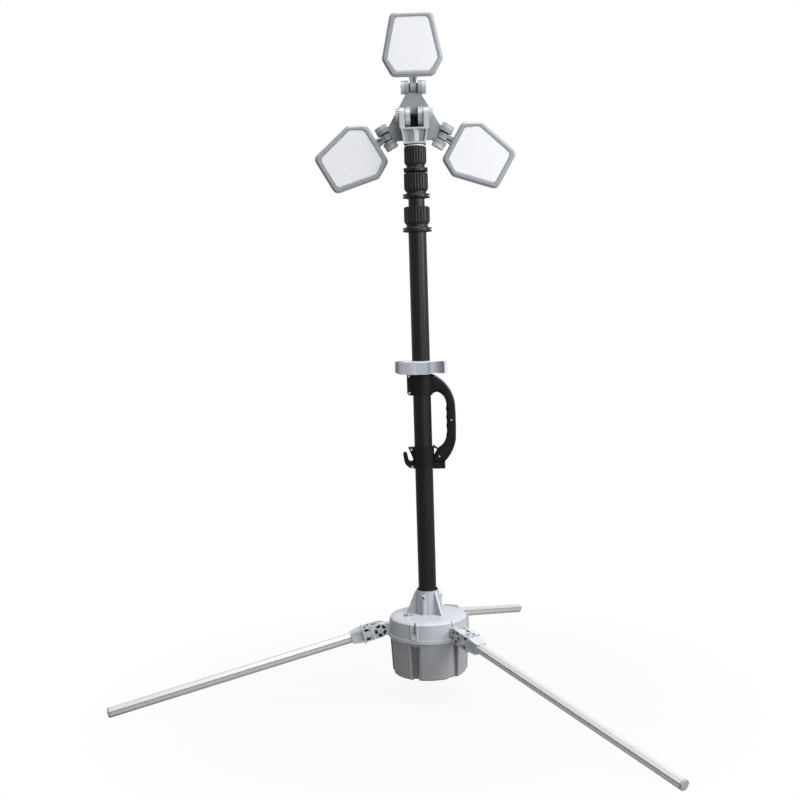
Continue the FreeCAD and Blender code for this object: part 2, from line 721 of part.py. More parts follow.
def clamps():
    """The two split clamps that hold the grip on the mast, the lower one with the cable hook."""
    upper = new_body("upper_clamp")
    pad(upper, circle(circle(sketch_on(upper, "XY_Plane", "upper_clamp_base"), "0", "0", "clamp_radius"),
                      "0", "0", "mast_radius + clamp_gap"), "upper_clamp_height")
    root = "-(mast_radius + tube_wall)"
    ear = sketch_on(upper, "XZ_Plane")
    outline(ear, [
        (root, "upper_clamp_base"), (root, CRADLE_BASE), ("-clamp_ear_reach", CRADLE_BASE),
        ("-clamp_ear_reach", "upper_clamp_base + clamp_ear_round", "clamp_ear_round"),
        ("-clamp_ear_reach + clamp_ear_round", "upper_clamp_base")])
    pad(upper, ear, "clamp_ear_width", both=True)

    lower = new_body("lower_clamp")
    pad(lower, circle(circle(sketch_on(lower, "XY_Plane", "lower_clamp_base"), "0", "0", "clamp_radius"),
                      "0", "0", "mast_radius + clamp_gap"), "lower_clamp_height")
    clamp_top = "lower_clamp_base + lower_clamp_height"
    tip_rise = "lower_clamp_base + hook_rise"
    hook = sketch_on(lower, "XZ_Plane")
    outline(hook, [
        (root, "lower_clamp_base"), (root, clamp_top), ("-hook_ear_reach", clamp_top),
        ("-hook_root", "lower_clamp_base + hook_root_rise", "-hook_pocket_curve"),
        ("-hook_inside", "lower_clamp_base + hook_inside_rise"),
        ("-(hook_reach - hook_thickness)", tip_rise, "hook_thickness / 2"),
        ("-(hook_reach - hook_thickness / 2)", tip_rise + " + hook_thickness / 2", "hook_thickness / 2"),
        ("-hook_reach", tip_rise), ("-hook_elbow", "lower_clamp_base + hook_elbow_rise", "hook_curve"),
        ("-hook_foot", "lower_clamp_base")])
    pad(lower, hook, "hook_width", both=True)
    stud = sketch_on(lower, "XZ_Plane")
    rectangle(stud, "mast_radius + tube_wall", "lower_clamp_base - stud_drop", "stud_reach",
              "lower_clamp_base - stud_drop + stud_height")
    pad(lower, stud, "stud_width", both=True)


def handle_grip():
    """The carrying bow: rounded section, a curve at each end and finger hollows inside."""
    grip = new_body("handle_grip")
    root = "clamp_radius + tube_gap"
    inner = "(handle_reach - grip_depth)"
    foot = "(lower_clamp_base + grip_foot_rise)"
    first_finger = "(%s - finger_start_drop)" % CRADLE_BASE
    corners = [
        (root, foot), ("stud_reach", foot, "grip_lower_curve"),
        ("handle_reach", "lower_clamp_base + grip_heel_rise"),
        ("handle_reach", CRADLE_BASE + " - grip_shoulder_drop", "grip_upper_curve"),
        (root, CRADLE_BASE + " - grip_top_drop"), (root, CRADLE_BASE + " - grip_top_drop - grip_top_root"),
        (root + " + grip_root_step", CRADLE_BASE + " - grip_top_drop - grip_top_root + grip_root_step / 2",
         "-finger_upper_curve")]
    for finger in range(FINGERS):
        corners.append((inner, "%s - %d * finger_pitch" % (first_finger, finger), "-finger_curve"))
    corners += [
        (inner, "%s - %d * finger_pitch" % (first_finger, FINGERS), "-finger_lower_curve"),
        (root + " + grip_root_step", foot + " + grip_foot_root + grip_root_step / 2"),
        (root, foot + " + grip_foot_root")]
    bow = pad(grip, outline(sketch_on(grip, "XZ_Plane"), corners), "handle_width", both=True)
    rims = rim_edges(bow, "handle_width / 2", "-handle_width / 2")
    reach = {name: bow.Shape.getElement(name).BoundBox.XMax for name in rims}
    outer = [name for name in rims if reach[name] > value_of("handle_reach") - SAME_PLACE]
    chamfer(grip, bow, outer, "grip_outer_chamfer")


def leg_socket(word):
    """The moulded socket of a leg: spoked hinge cheeks, lock boss between windows, two flanges, tapered nose."""
    socket = new_body("leg_socket_" + word)
    side = sketch_on(socket, "XZ_Plane")
    outline(side, [
        ("0", "-cheek_radius"), ("front_flange_place", "-socket_half_height"),
        ("socket_length", "-nose_half_height"), ("socket_length", "nose_half_height"),
        ("front_flange_place", "socket_half_height"), ("0", "cheek_radius")])
    pad(socket, side, "2 * " + CHEEK_OUTSIDE, both=True)
    pad(socket, circle(sketch_on(socket, "XZ_Plane"), "0", "0", "cheek_radius"), "2 * " + CHEEK_OUTSIDE, both=True)
    for sign in ("", "-"):
        taper = sketch_on(socket, "XY_Plane")
        outline(taper, [
            ("front_flange_place", sign + CHEEK_OUTSIDE), ("socket_length", sign + "nose_half_width"),
            ("socket_length + flange_thickness", sign + "nose_half_width"),
            ("socket_length + flange_thickness", "%s(2 * %s)" % (sign, CHEEK_OUTSIDE)),
            ("front_flange_place", "%s(2 * %s)" % (sign, CHEEK_OUTSIDE))])
        pocket(socket, taper, "4 * cheek_radius", both=True)
    for end in ("rear", "front"):
        half = end + "_flange_half_height"
        flange = sketch_on(socket, "YZ_Plane", end + "_flange_place")
        rectangle(flange, "-flange_half_width", "-" + half, "flange_half_width", half)
        pad(socket, flange, "flange_thickness")
    lock_boss = circle(sketch_on(socket, "XZ_Plane"), "lock_pin_place", "0", "lock_boss_radius")
    pad(socket, lock_boss, "2 * (%s + lock_boss_rise)" % CHEEK_OUTSIDE, both=True)
    gap = sketch_on(socket, "XZ_Plane")
    rectangle(gap, "-2 * cheek_radius", "-2 * cheek_radius", "rear_flange_place", "2 * cheek_radius")
    pocket(socket, gap, "2 * " + CHEEK_INSIDE, both=True)
    bore = outline(sketch_on(socket, "YZ_Plane"), octagon("leg_width / 2 + running_gap", "leg_corner"))
    pocket(socket, bore, "socket_length", back=True)
    windows = sketch_on(socket, "XZ_Plane")
    for sign in ("", "-"):
        outline(windows, [
            ("window_start", sign + "window_low"), ("window_end", sign + "window_low"),
            ("window_end", sign + "window_high"), ("(window_start + window_end) / 2", sign + "window_high")])
    pocket(socket, windows, "4 * " + CHEEK_OUTSIDE, both=True)
    tops = sketch_on(socket, "XY_Plane")
    for sign, first, last in (("-", "window_start", "(window_end - window_rib)"),
                              ("", "window_end", "(window_start + window_rib)")):
        outline(tops, [(first, sign + "window_half"), (last, sign + "window_half"),
                       (first, "%s(window_rib - window_half)" % sign)])
    pocket(socket, tops, "4 * cheek_radius", both=True)
    holes = sketch_on(socket, "XZ_Plane")
    circle(holes, "0", "0", "hinge_pin_radius + running_gap")
    circle(holes, "lock_pin_place", "0", "lock_pin_radius + running_gap")
    pocket(socket, holes, "4 * " + CHEEK_OUTSIDE, both=True)
    recesses = []
    for face, back in (("", False), ("-", True)):
        panel = sketch_on(socket, "XZ_Plane", face + CHEEK_OUTSIDE)
        rectangle(panel, "nose_panel_start", "-nose_panel_half", "nose_panel_end", "nose_panel_half")
        pocket(socket, panel, CHEEK_OUTSIDE + " - nose_half_width", back=back)
        recess = sketch_on(socket, "XZ_Plane", face + CHEEK_OUTSIDE)
        ends = [(radius + " * cos(spoke_half_angle)", sign + radius + " * sin(spoke_half_angle)")
                for radius, sign in (("spoke_inner", "-"), ("spoke_outer", "-"), ("spoke_outer", ""),
                                     ("spoke_inner", ""))]
        recesses.append(pocket(socket, outline(recess, ends), "spoke_depth", back=back))
    around(socket, recesses, "spoke_count", "Y_Axis")
    return socket


def leg(word, turn):
    """One folding leg in its own frame: X along the tube from the hinge pin, Y along the pin."""
    socket = leg_socket(word)
    bar = new_body("leg_tube_" + word)
    section = sketch_on(bar, "YZ_Plane", "leg_start")
    outline(section, octagon("leg_width / 2", "leg_corner"))
    outline(section, octagon("leg_width / 2 - leg_wall", "leg_corner - leg_wall / 2"))
    pad(bar, section, "leg_length - plug_cap - leg_start")
    hole = circle(sketch_on(bar, "XZ_Plane"), "lock_pin_place", "0", "lock_pin_radius + running_gap")
    pocket(bar, hole, "2 * leg_width", both=True)

    plug = new_body("leg_plug_" + word)
    pad(plug, outline(sketch_on(plug, "YZ_Plane", "leg_length - plug_cap"), octagon("leg_width / 2", "leg_corner")),
        "plug_cap")
    stub = sketch_on(plug, "YZ_Plane", "leg_length - plug_cap")
    outline(stub, octagon("leg_width / 2 - leg_wall - plug_gap", "leg_corner - leg_wall / 2"))
    pad(plug, stub, "plug_depth", back=True)

    pins = new_body("leg_pins_" + word)
    pad(pins, circle(sketch_on(pins, "XZ_Plane"), "0", "0", "hinge_pin_radius"), "2 * " + CHEEK_OUTSIDE, both=True)
    for face, back in (("", False), ("-", True)):
        head = circle(sketch_on(pins, "XZ_Plane", face + CHEEK_OUTSIDE), "0", "0", "pin_head_radius")
        pad(pins, head, "pin_head_thickness", back=back)

    bolt = new_body("leg_bolt_" + word)
    pad(bolt, circle(sketch_on(bolt, "XZ_Plane"), "lock_pin_place", "0", "lock_pin_radius"),
        "2 * (%s + lock_boss_rise)" % CHEEK_OUTSIDE, both=True)

    azimuth = "leg_azimuth + %d" % turn
    for piece in (socket, bar, plug, pins, bolt):
        place(piece, x="hinge_reach * cos(%s)" % azimuth, y="hinge_reach * sin(%s)" % azimuth,
              z="hinge_rise", yaw=azimuth, pitch="leg_slope")


def head_bracket():
    """The ribbed bracket on the top tube, with a cheek on each side for the tilt bolt."""
    bracket = new_body("head_bracket")
    block = sketch_on(bracket, "XZ_Plane", "-bracket_back")
    outline(block, [
        ("-bracket_base_half", BRACKET_BASE), ("bracket_base_half", BRACKET_BASE),
        ("bracket_shelf_half", BRACKET_SHELF), ("-bracket_shelf_half", BRACKET_SHELF)])
    pad(bracket, block, "bracket_back + bracket_front")
    hollow_foot = BRACKET_BASE + " + bracket_wall"
    hollow_top = BRACKET_SHELF + " - shelf_thickness"
    for face, back in (("bracket_front", False), ("-bracket_back", True)):
        hollows = sketch_on(bracket, "XZ_Plane", face)
        for side in ("", "-"):
            outline(hollows, [
                (side + "bracket_rib / 2", hollow_foot),
                (side + "(bracket_base_half - bracket_wall)", hollow_foot),
                (side + "(bracket_shelf_half - bracket_wall)", hollow_top), (side + "bracket_rib / 2", hollow_top)])
        pocket(bracket, hollows, "bracket_pocket", back=back)
    for low in ("cheek_inner", "-cheek_outer"):
        cheek = sketch_on(bracket, "YZ_Plane", low)
        rectangle(cheek, "-tilt_cheek_radius", BRACKET_SHELF + " - shelf_thickness", "tilt_cheek_radius", TILT_RISE)
        pad(bracket, cheek, "cheek_outer - cheek_inner")
        eye = circle(sketch_on(bracket, "YZ_Plane", low), "0", TILT_RISE, "tilt_cheek_radius")
        pad(bracket, eye, "cheek_outer - cheek_inner")
    bore = circle(sketch_on(bracket, "XY_Plane", BRACKET_BASE), "0", "0", FOURTH + " + running_gap")
    pocket(bracket, bore, "bracket_height - shelf_thickness", back=True)
    hole = circle(sketch_on(bracket, "YZ_Plane"), "0", TILT_RISE, "tilt_pin_radius + running_gap")
    pocket(bracket, hole, "4 * cheek_outer", both=True)

    bolt = new_body("tilt_bolt")
    pad(bolt, circle(sketch_on(bolt, "YZ_Plane"), "0", "0", "tilt_pin_radius"),
        "2 * (cheek_outer + tilt_bolt_spare)", both=True)
    for face, back in (("cheek_outer", False), ("-cheek_outer", True)):
        head = circle(sketch_on(bolt, "YZ_Plane", face), "0", "0", "tilt_knob_radius")
        pad(bolt, head, "tilt_knob_thickness", back=back)
    flute = sketch_on(bolt, "YZ_Plane")
    rectangle(flute, "-tilt_flute_half", "tilt_knob_radius - tilt_flute_depth", "tilt_flute_half",
              "tilt_knob_radius + tilt_flute_depth")
    flutes = pocket(bolt, flute, "4 * cheek_outer", both=True)
    around(bolt, [flutes], "tilt_flute_count", "X_Axis")
    place(bolt, z=TILT_RISE)


def plate_corners():
    """The six-sided plate about its own centre, one short side across each lamp's arm."""
    corners = []
    for turn in (90, 330, 210):
        for sign in (1, -1):
            corners.append(("plate_end_radius * cos(%d) + %d * plate_end_half * cos(%d)" % (turn, sign, turn + 90),
                            "plate_end_radius * sin(%d) + %d * plate_end_half * sin(%d)" % (turn, sign, turn + 90)))
    return corners


def head_plate():
    """The plate that carries the three lamps, with its two tilt tongues and six lamp ears."""
    plate = new_body("head_plate")
    pad(plate, outline(sketch_on(plate, "XZ_Plane"), plate_corners()), "plate_thickness", both=True)
    for low in ("tilt_tongue_inner", "-tilt_tongue_outer"):
        tongue = sketch_on(plate, "YZ_Plane", low)
        outline(tongue, [
            ("0", "tilt_above_centre - tongue_root_half"),
            ("-" + PLATE_MIDDLE, "tilt_above_centre - tongue_eye_radius"),
            ("-" + PLATE_MIDDLE, "tilt_above_centre + tongue_eye_radius"),
            ("0", "tilt_above_centre + tongue_root_half")])
        pad(plate, tongue, "tilt_tongue_outer - tilt_tongue_inner")
        eye = circle(sketch_on(plate, "YZ_Plane", low), "-" + PLATE_MIDDLE, "tilt_above_centre", "tongue_eye_radius")
        pad(plate, eye, "tilt_tongue_outer - tilt_tongue_inner")
    hole = circle(sketch_on(plate, "YZ_Plane"), "-" + PLATE_MIDDLE, "tilt_above_centre",
                  "tilt_pin_radius + running_gap")
    pocket(plate, hole, "2 * cheek_outer", both=True)
    ears = []
    for low in ("ear_inner", "-ear_outer"):
        ear = sketch_on(plate, "YZ_Plane", low)
        rectangle(ear, "-plate_thickness / 2", "plate_end_radius - ear_root", "plate_thickness / 2", "lamp_pin_reach")
        ears.append(pad(plate, ear, "ear_outer - ear_inner"))
        round_ear = circle(sketch_on(plate, "YZ_Plane", low), "0", "lamp_pin_reach", "ear_radius")
        ears.append(pad(plate, round_ear, "ear_outer - ear_inner"))
    web = sketch_on(plate, "YZ_Plane")
    rectangle(web, "-plate_thickness / 2", "plate_end_radius - ear_root", "plate_thickness / 2",
              "lamp_pin_reach - barrel_radius - ear_web_gap")
    ears.append(pad(plate, web, "2 * ear_outer", both=True))
    pin_hole = circle(sketch_on(plate, "YZ_Plane"), "0", "lamp_pin_reach", "lamp_pin_radius + running_gap")
    ears.append(pocket(plate, pin_hole, "4 * ear_outer", both=True))
    around(plate, ears, 3, "Y_Axis")
    place(plate, y=PLATE_MIDDLE, z=PLATE_CENTRE)


def lamp_outline(shrink):
    """The six-sided lamp, pulled in all round by an amount, about the plate's centre."""
    near = "lamp_pin_reach + stem_length"
    shrink = "(%s)" % shrink
    near_half = "(lamp_near_half - %s * lamp_near_inset)" % shrink
    far_half = "(lamp_far_half - %s * lamp_far_inset)" % shrink
    wide_half = "(lamp_wide_half - %s)" % shrink
    return [
        (near_half, "%s + %s" % (near, shrink)), (wide_half, near + " + lamp_wide_place"),
        (far_half, "%s + lamp_length - %s" % (near, shrink)),
        ("-" + far_half, "%s + lamp_length - %s" % (near, shrink)),
        ("-" + wide_half, near + " + lamp_wide_place"), ("-" + near_half, "%s + %s" % (near, shrink))]


def lamp(word, turn):
    """One lamp head in the plate's frame: Y runs back from the lens, Z out along the arm."""
    bezel = new_body("lamp_bezel_" + word)
    frame = sketch_on(bezel, "XZ_Plane", "lamp_front")
    outline(frame, lamp_outline("0"))
    outline(frame, lamp_outline("bezel_width"))
    ring = pad(bezel, frame, "bezel_depth", back=True)
    ring = fillet(bezel, ring, upright_edges(ring, lamp_outline("0")), "bezel_corner")
    ring = fillet(bezel, ring, upright_edges(ring, lamp_outline("bezel_width")), "lens_corner")
    chamfer(bezel, ring, rim_edges(ring, "-lamp_front"), "bezel_chamfer")

    back = new_body("lamp_housing_" + word)
    shell = sketch_on(back, "XZ_Plane", "lamp_front - bezel_depth")
    block = pad(back, outline(shell, lamp_outline("lamp_wall")), "lamp_depth - bezel_depth", back=True)
    block = fillet(back, block, upright_edges(block, lamp_outline("lamp_wall")), "bezel_corner")
    chamfer(back, block, rim_edges(block, "lamp_depth - lamp_front"), "back_chamfer")
    groove = sketch_on(back, "YZ_Plane")
    rear = "(lamp_depth - lamp_front)"
    first = "(lamp_pin_reach + stem_length + back_groove_start)"
    rectangle(groove, rear + " - back_groove_depth", first, rear + " + back_groove_depth",
              first + " + back_groove_width")
    grooves = pocket(back, groove, "2 * back_groove_half", both=True)
    in_a_row(back, [grooves], "Z_Axis", "back_groove_pitch", "back_groove_count")

    lens = new_body("lamp_lens_" + word)
    pane = sketch_on(lens, "XZ_Plane", "lamp_front - lens_recess")
    slab = pad(lens, outline(pane, lamp_outline("bezel_width + lens_gap")), "lens_thickness", back=True)
    fillet(lens, slab, upright_edges(slab, lamp_outline("bezel_width + lens_gap")), "lens_corner")

    knuckle = new_body("lamp_knuckle_" + word)
    pad(knuckle, circle(sketch_on(knuckle, "YZ_Plane"), "0", "lamp_pin_reach", "barrel_radius"),
        "2 * barrel_half", both=True)
    stem = sketch_on(knuckle, "YZ_Plane")
    rectangle(stem, "-stem_thickness / 2", "lamp_pin_reach", "stem_thickness / 2", "lamp_pin_reach + stem_length")
    pad(knuckle, stem, "2 * stem_half", both=True)
    hole = circle(sketch_on(knuckle, "YZ_Plane"), "0", "lamp_pin_reach", "lamp_pin_radius + running_gap")
    pocket(knuckle, hole, "4 * ear_outer", both=True)

    pin = new_body("lamp_pin_" + word)
    pad(pin, circle(sketch_on(pin, "YZ_Plane"), "0", "lamp_pin_reach", "lamp_pin_radius"),
        "2 * (ear_outer + lamp_pin_spare)", both=True)
    for face, reverse in (("ear_outer", False), ("-ear_outer", True)):
        cap = circle(sketch_on(pin, "YZ_Plane", face), "0", "lamp_pin_reach", "lamp_cap_radius")
        pad(pin, cap, "lamp_cap_thickness", back=reverse)
        cap_face = "(ear_outer + lamp_cap_thickness)"
        groove = sketch_on(pin, "YZ_Plane", ("-" if reverse else "") + cap_face)
        rectangle(groove, "-lamp_cap_radius", "lamp_pin_reach - cap_groove_width / 2", "lamp_cap_radius",
                  "lamp_pin_reach + cap_groove_width / 2")
        pocket(pin, groove, "cap_groove_depth", back=reverse)

    for piece in (bezel, back, lens, knuckle, pin):
        place(piece, y=PLATE_MIDDLE, z=PLATE_CENTRE, pitch=str(turn))


def build():
    bucket()
    lid()
    mast_foot()
    mast()
    leg_cradle()
    clamps()
    handle_grip()
    for word, turn in LEGS:
        leg(word, turn)
    head_bracket()
    head_plate()
    for word, turn in LAMPS:
        lamp(word, turn)
    doc.recompute()


def check_and_write():
    for thing in doc.Objects:
        if "Invalid" in thing.State or "Error" in thing.State:
            raise RuntimeError("%s (%s) failed" % (thing.Name, thing.Label))
    for thing in nodes:
        if thing.Shape.isNull() or not thing.Shape.isValid() or len(thing.Shape.Solids) != 1:
            raise RuntimeError("%s isn't one valid solid" % thing.Label)
    os.makedirs("parts", exist_ok=True)
    for thing in nodes:
        thing.Shape.exportStep(os.path.join("parts", thing.Label + ".step"))
        print("%-22s volume %.0f" % (thing.Label, thing.Shape.Volume))


build()
check_and_write()
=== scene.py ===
import json
import math

import bmesh
import bpy
from mathutils import Matrix, Vector


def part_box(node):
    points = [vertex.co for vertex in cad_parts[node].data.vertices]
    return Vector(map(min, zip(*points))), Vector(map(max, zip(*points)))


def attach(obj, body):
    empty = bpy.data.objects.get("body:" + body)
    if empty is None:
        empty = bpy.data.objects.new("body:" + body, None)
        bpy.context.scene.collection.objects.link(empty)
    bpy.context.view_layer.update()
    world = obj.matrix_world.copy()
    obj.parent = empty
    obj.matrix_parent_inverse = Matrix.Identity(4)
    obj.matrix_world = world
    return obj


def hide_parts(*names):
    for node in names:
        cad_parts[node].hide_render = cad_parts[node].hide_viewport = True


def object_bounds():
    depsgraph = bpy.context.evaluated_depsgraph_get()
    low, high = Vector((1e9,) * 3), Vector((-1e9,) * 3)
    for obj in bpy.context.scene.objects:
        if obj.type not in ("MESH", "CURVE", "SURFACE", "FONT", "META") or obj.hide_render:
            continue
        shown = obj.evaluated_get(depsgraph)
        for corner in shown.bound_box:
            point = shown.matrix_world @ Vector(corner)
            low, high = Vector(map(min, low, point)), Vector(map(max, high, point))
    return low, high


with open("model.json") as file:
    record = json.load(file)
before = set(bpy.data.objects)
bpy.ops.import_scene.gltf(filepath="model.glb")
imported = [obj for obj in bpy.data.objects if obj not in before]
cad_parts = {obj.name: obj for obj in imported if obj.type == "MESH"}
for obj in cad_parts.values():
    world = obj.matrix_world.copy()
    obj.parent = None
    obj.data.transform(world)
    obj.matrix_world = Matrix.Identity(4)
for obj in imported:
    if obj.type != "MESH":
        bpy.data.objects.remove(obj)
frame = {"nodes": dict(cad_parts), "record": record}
cad_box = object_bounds()
MM = 0.001


# Making pieces, in millimetres

def link_new(name, data):
    """An object with the given data, in the scene's collection."""
    made = bpy.data.objects.new(name, data)
    bpy.context.scene.collection.objects.link(made)
    return made


def mesh_from(bm, name):
    """A smooth object from a bmesh, with its faces turned outwards."""
    bmesh.ops.remove_doubles(bm, verts=bm.verts, dist=1e-6)
    bmesh.ops.recalc_face_normals(bm, faces=bm.faces)
    mesh = bpy.data.meshes.new(name)
    bm.to_mesh(mesh)
    bm.free()
    return link_new(name, mesh)


def bake_modifiers(piece):
    """Applies the modifiers that a piece has."""
    bpy.context.view_layer.update()
    graph = bpy.context.evaluated_depsgraph_get()
    finished = bpy.data.meshes.new_from_object(piece.evaluated_get(graph))
    piece.modifiers.clear()
    old = piece.data
    piece.data = finished
    bpy.data.meshes.remove(old)
    return piece


def discard(piece):
    spent = piece.data
    bpy.data.objects.remove(piece)
    bpy.data.meshes.remove(spent)


def combine(piece, tools, operation):
    """Cuts tools out of a piece, or joins them to it, one after another."""
    for tool in tools:
        change = piece.modifiers.new("combine", "BOOLEAN")
        change.operation = operation
        change.solver = "MANIFOLD"
        change.object = tool
        bake_modifiers(piece)
        discard(tool)
    return piece


def cut(piece, *tools):
    return combine(piece, tools, "DIFFERENCE")


def join(piece, *tools):
    return combine(piece, tools, "UNION")


def put_in_order(bm):
    """Orders a mesh's elements by place, since a boolean's order is another one on each run."""
    def corners(item):
        return sorted(vert.index for vert in item.verts)

    for kind, place in ((bm.verts, lambda vert: tuple(vert.co)), (bm.edges, corners), (bm.faces, corners)):
        rank = {item: number for number, item in enumerate(sorted(kind, key=place))}
        kind.sort(key=rank.get)
        kind.index_update()


def merge_flat_faces(piece):
    """Takes out the needless edges that cutting and joining leave."""
    bm = bmesh.new()
    bm.from_mesh(piece.data)
    bmesh.ops.remove_doubles(bm, verts=bm.verts, dist=0.02 * MM)
    put_in_order(bm)
    bmesh.ops.dissolve_limit(bm, angle_limit=math.radians(0.6), verts=bm.verts, edges=bm.edges)
    bmesh.ops.recalc_face_normals(bm, faces=bm.faces)
    bm.to_mesh(piece.data)
    bm.free()
    return piece


def soften(piece, width, segments=3, angle=28):
    """Rounds a piece's sharp edges by a width and evens its shading."""
    merge_flat_faces(piece)
    bevel = piece.modifiers.new("soft_edges", "BEVEL")
    bevel.width = width * MM
    bevel.segments = segments
    bevel.limit_method = "ANGLE"
    bevel.angle_limit = math.radians(angle)
    bevel.use_clamp_overlap = True
    for polygon in piece.data.polygons:
        polygon.use_smooth = True
    even = piece.modifiers.new("even_shading", "WEIGHTED_NORMAL")
    even.keep_sharp = True
    return bake_modifiers(piece)


def lathe(name, profile, steps=96):
    """A full turn about Z of a closed profile of (radius, height) points."""
    bm = bmesh.new()
    verts = [bm.verts.new((radius * MM, 0, height * MM)) for radius, height in profile]
    edges = [bm.edges.new(pair) for pair in zip(verts, verts[1:] + verts[:1])]
    bmesh.ops.spin(bm, geom=verts + edges, cent=(0, 0, 0), axis=(0, 0, 1), angle=math.tau,
                   steps=steps, use_merge=True, use_duplicate=False)
    bmesh.ops.dissolve_degenerate(bm, dist=1e-7, edges=bm.edges)
    return mesh_from(bm, name)


def prism(name, outline, low, high, turn=None):
    """An outline of (x, y) points raised from low to high, then turned into place."""
    bm = bmesh.new()
    face = bm.faces.new([bm.verts.new((x * MM, y * MM, low * MM)) for x, y in outline])
    raised = bmesh.ops.extrude_face_region(bm, geom=[face])["geom"]
    bmesh.ops.translate(bm, verts=[v for v in raised if isinstance(v, bmesh.types.BMVert)],
                        vec=(0, 0, (high - low) * MM))
    piece = mesh_from(bm, name)
    if turn is not None:
        piece.data.transform(turn)
    return piece


def upright(name, outline, low, high):
    """An outline of (x, z) points, as thick along Y as from low to high."""
    return prism(name, outline, -high, -low, Matrix.Rotation(math.pi / 2, 4, "X"))


def sideways(name, outline, low, high):
    """An outline of (y, z) points, as thick along X as from low to high."""
    turn = Matrix(((0, 0, 1, 0), (1, 0, 0, 0), (0, 1, 0, 0), (0, 0, 0, 1)))
    return prism(name, outline, low, high, turn)


def block(name, low, high):
    """A box between two corners."""
    bm = bmesh.new()
    bmesh.ops.create_cube(bm, size=1.0)
    size = Vector(high) - Vector(low)
    bmesh.ops.scale(bm, verts=bm.verts, vec=size * MM)
    bmesh.ops.translate(bm, verts=bm.verts, vec=(Vector(low) + size / 2) * MM)
    return mesh_from(bm, name)


def rod(name, start, end, radius, steps=48):
    """A cylinder between two points."""
    bm = bmesh.new()
    along = Vector(end) - Vector(start)
    bmesh.ops.create_cone(bm, cap_ends=True, segments=steps, radius1=radius * MM,
                          radius2=radius * MM, depth=along.length * MM)
    bmesh.ops.translate(bm, verts=bm.verts, vec=(0, 0, along.length / 2 * MM))
    bmesh.ops.rotate(bm, verts=bm.verts, cent=(0, 0, 0),
                     matrix=along.to_track_quat("Z", "Y").to_matrix())
    bmesh.ops.translate(bm, verts=bm.verts, vec=Vector(start) * MM)
    return mesh_from(bm, name)


def swept(name, place_of, stations, sides):
    """A closed bar whose surface is a function of the way along it and the way round it."""
    bm = bmesh.new()
    bmesh.ops.create_grid(bm, x_segments=stations, y_segments=sides, size=0.5)
    for vert in bm.verts:
        vert.co = Vector(place_of(vert.co.x + 0.5, vert.co.y + 0.5)) * MM
    bmesh.ops.remove_doubles(bm, verts=bm.verts, dist=1e-6)
    bmesh.ops.holes_fill(bm, edges=bm.edges, sides=0)
    return mesh_from(bm, name)


def rounded(outline, radius, steps=6):
    """An outline with each of its corners rounded by an arc."""
    points = []
    count = len(outline)
    for number, corner in enumerate(outline):
        spot = Vector(corner[:2])
        before = (Vector(outline[number - 1][:2]) - spot).normalized()
        after = (Vector(outline[(number + 1) % count][:2]) - spot).normalized()
        half = before.angle(after) / 2
        centre = spot + (before + after).normalized() * radius / math.sin(half)
        start = spot + before * radius / math.tan(half) - centre
        sweep = start.angle_signed(spot + after * radius / math.tan(half) - centre)
        for step in range(steps + 1):
            turn = Matrix.Rotation(-sweep * step / steps, 2)
            points.append(tuple(centre + turn @ start))
    return points


def arc(start, end, radius, steps=12):
    """Points from start up to, not with, end on an arc that lies left of the way for a minus radius."""
    start, end = Vector(start), Vector(end)
    chord = end - start
    half = chord.length / 2
    aside = Vector((-chord.y, chord.x)).normalized() * math.copysign(1, radius)
    centre = (start + end) / 2 + aside * math.sqrt(max(radius * radius - half * half, 0))
    sweep = (start - centre).angle_signed(end - centre)
    return [tuple(centre + Matrix.Rotation(-sweep * step / steps, 2) @ (start - centre))
            for step in range(steps)]


def span(side, inner, outer):
    """Two distances from the middle, both on one side of it, the lower number first."""
    return sorted((side * inner, side * outer))


def turned(piece, matrix):
    piece.data.transform(matrix)
    return piece


def around(maker, count, axis="Z"):
    """Copies of what a function makes, turned evenly about an axis."""
    return [turned(maker(), Matrix.Rotation(number * math.tau / count, 4, axis)) for number in range(count)]


def joined(name, pieces):
    """One piece from several that only touch or stand apart."""
    bm = bmesh.new()
    for piece in pieces:
        bm.from_mesh(piece.data)
        discard(piece)
    mesh = bpy.data.meshes.new(name)
    bm.to_mesh(mesh)
    bm.free()
    return link_new(name, mesh)


def copy_of(piece):
    return link_new(piece.name, piece.data.copy())


def screw(place, direction, radius, height=1.2):
    """A screw head with a six-sided socket, standing on a face."""
    place, direction = Vector(place), Vector(direction).normalized()
    top = place + direction * height
    head = rod("screw", place - direction * 0.6, top, radius, steps=32)
    cut(head, rod("socket", top - direction * height * 0.8, top + direction, radius * 0.5, steps=6))
    return soften(head, 0.25, segments=2)


def settle(piece, name, slot, body, *replaced, look=None):
    """Names a finished piece, gives it its finish and its body, and hides what it stands for."""
    piece.name = name
    piece.data.name = name
    piece.data.materials.clear()
    piece.data.materials.append(materials[look or slot])
    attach(piece, body)
    if replaced:
        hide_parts(*replaced)
    return piece


# Places, taken from the frame, in millimetres and radians

joints = {joint["child"]: joint for joint in frame["record"]["behaviour"]["joints"]}
LEG_SLOPE = math.radians(13.6)
LEG_WORDS = ("left", "front", "rear")
LAMP_TURNS = {"top": 0.0, "left": 240.0, "right": 120.0}


def low_of(node, axis="z"):
    return getattr(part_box(node)[0], axis) / MM


def high_of(node, axis="z"):
    return getattr(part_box(node)[1], axis) / MM


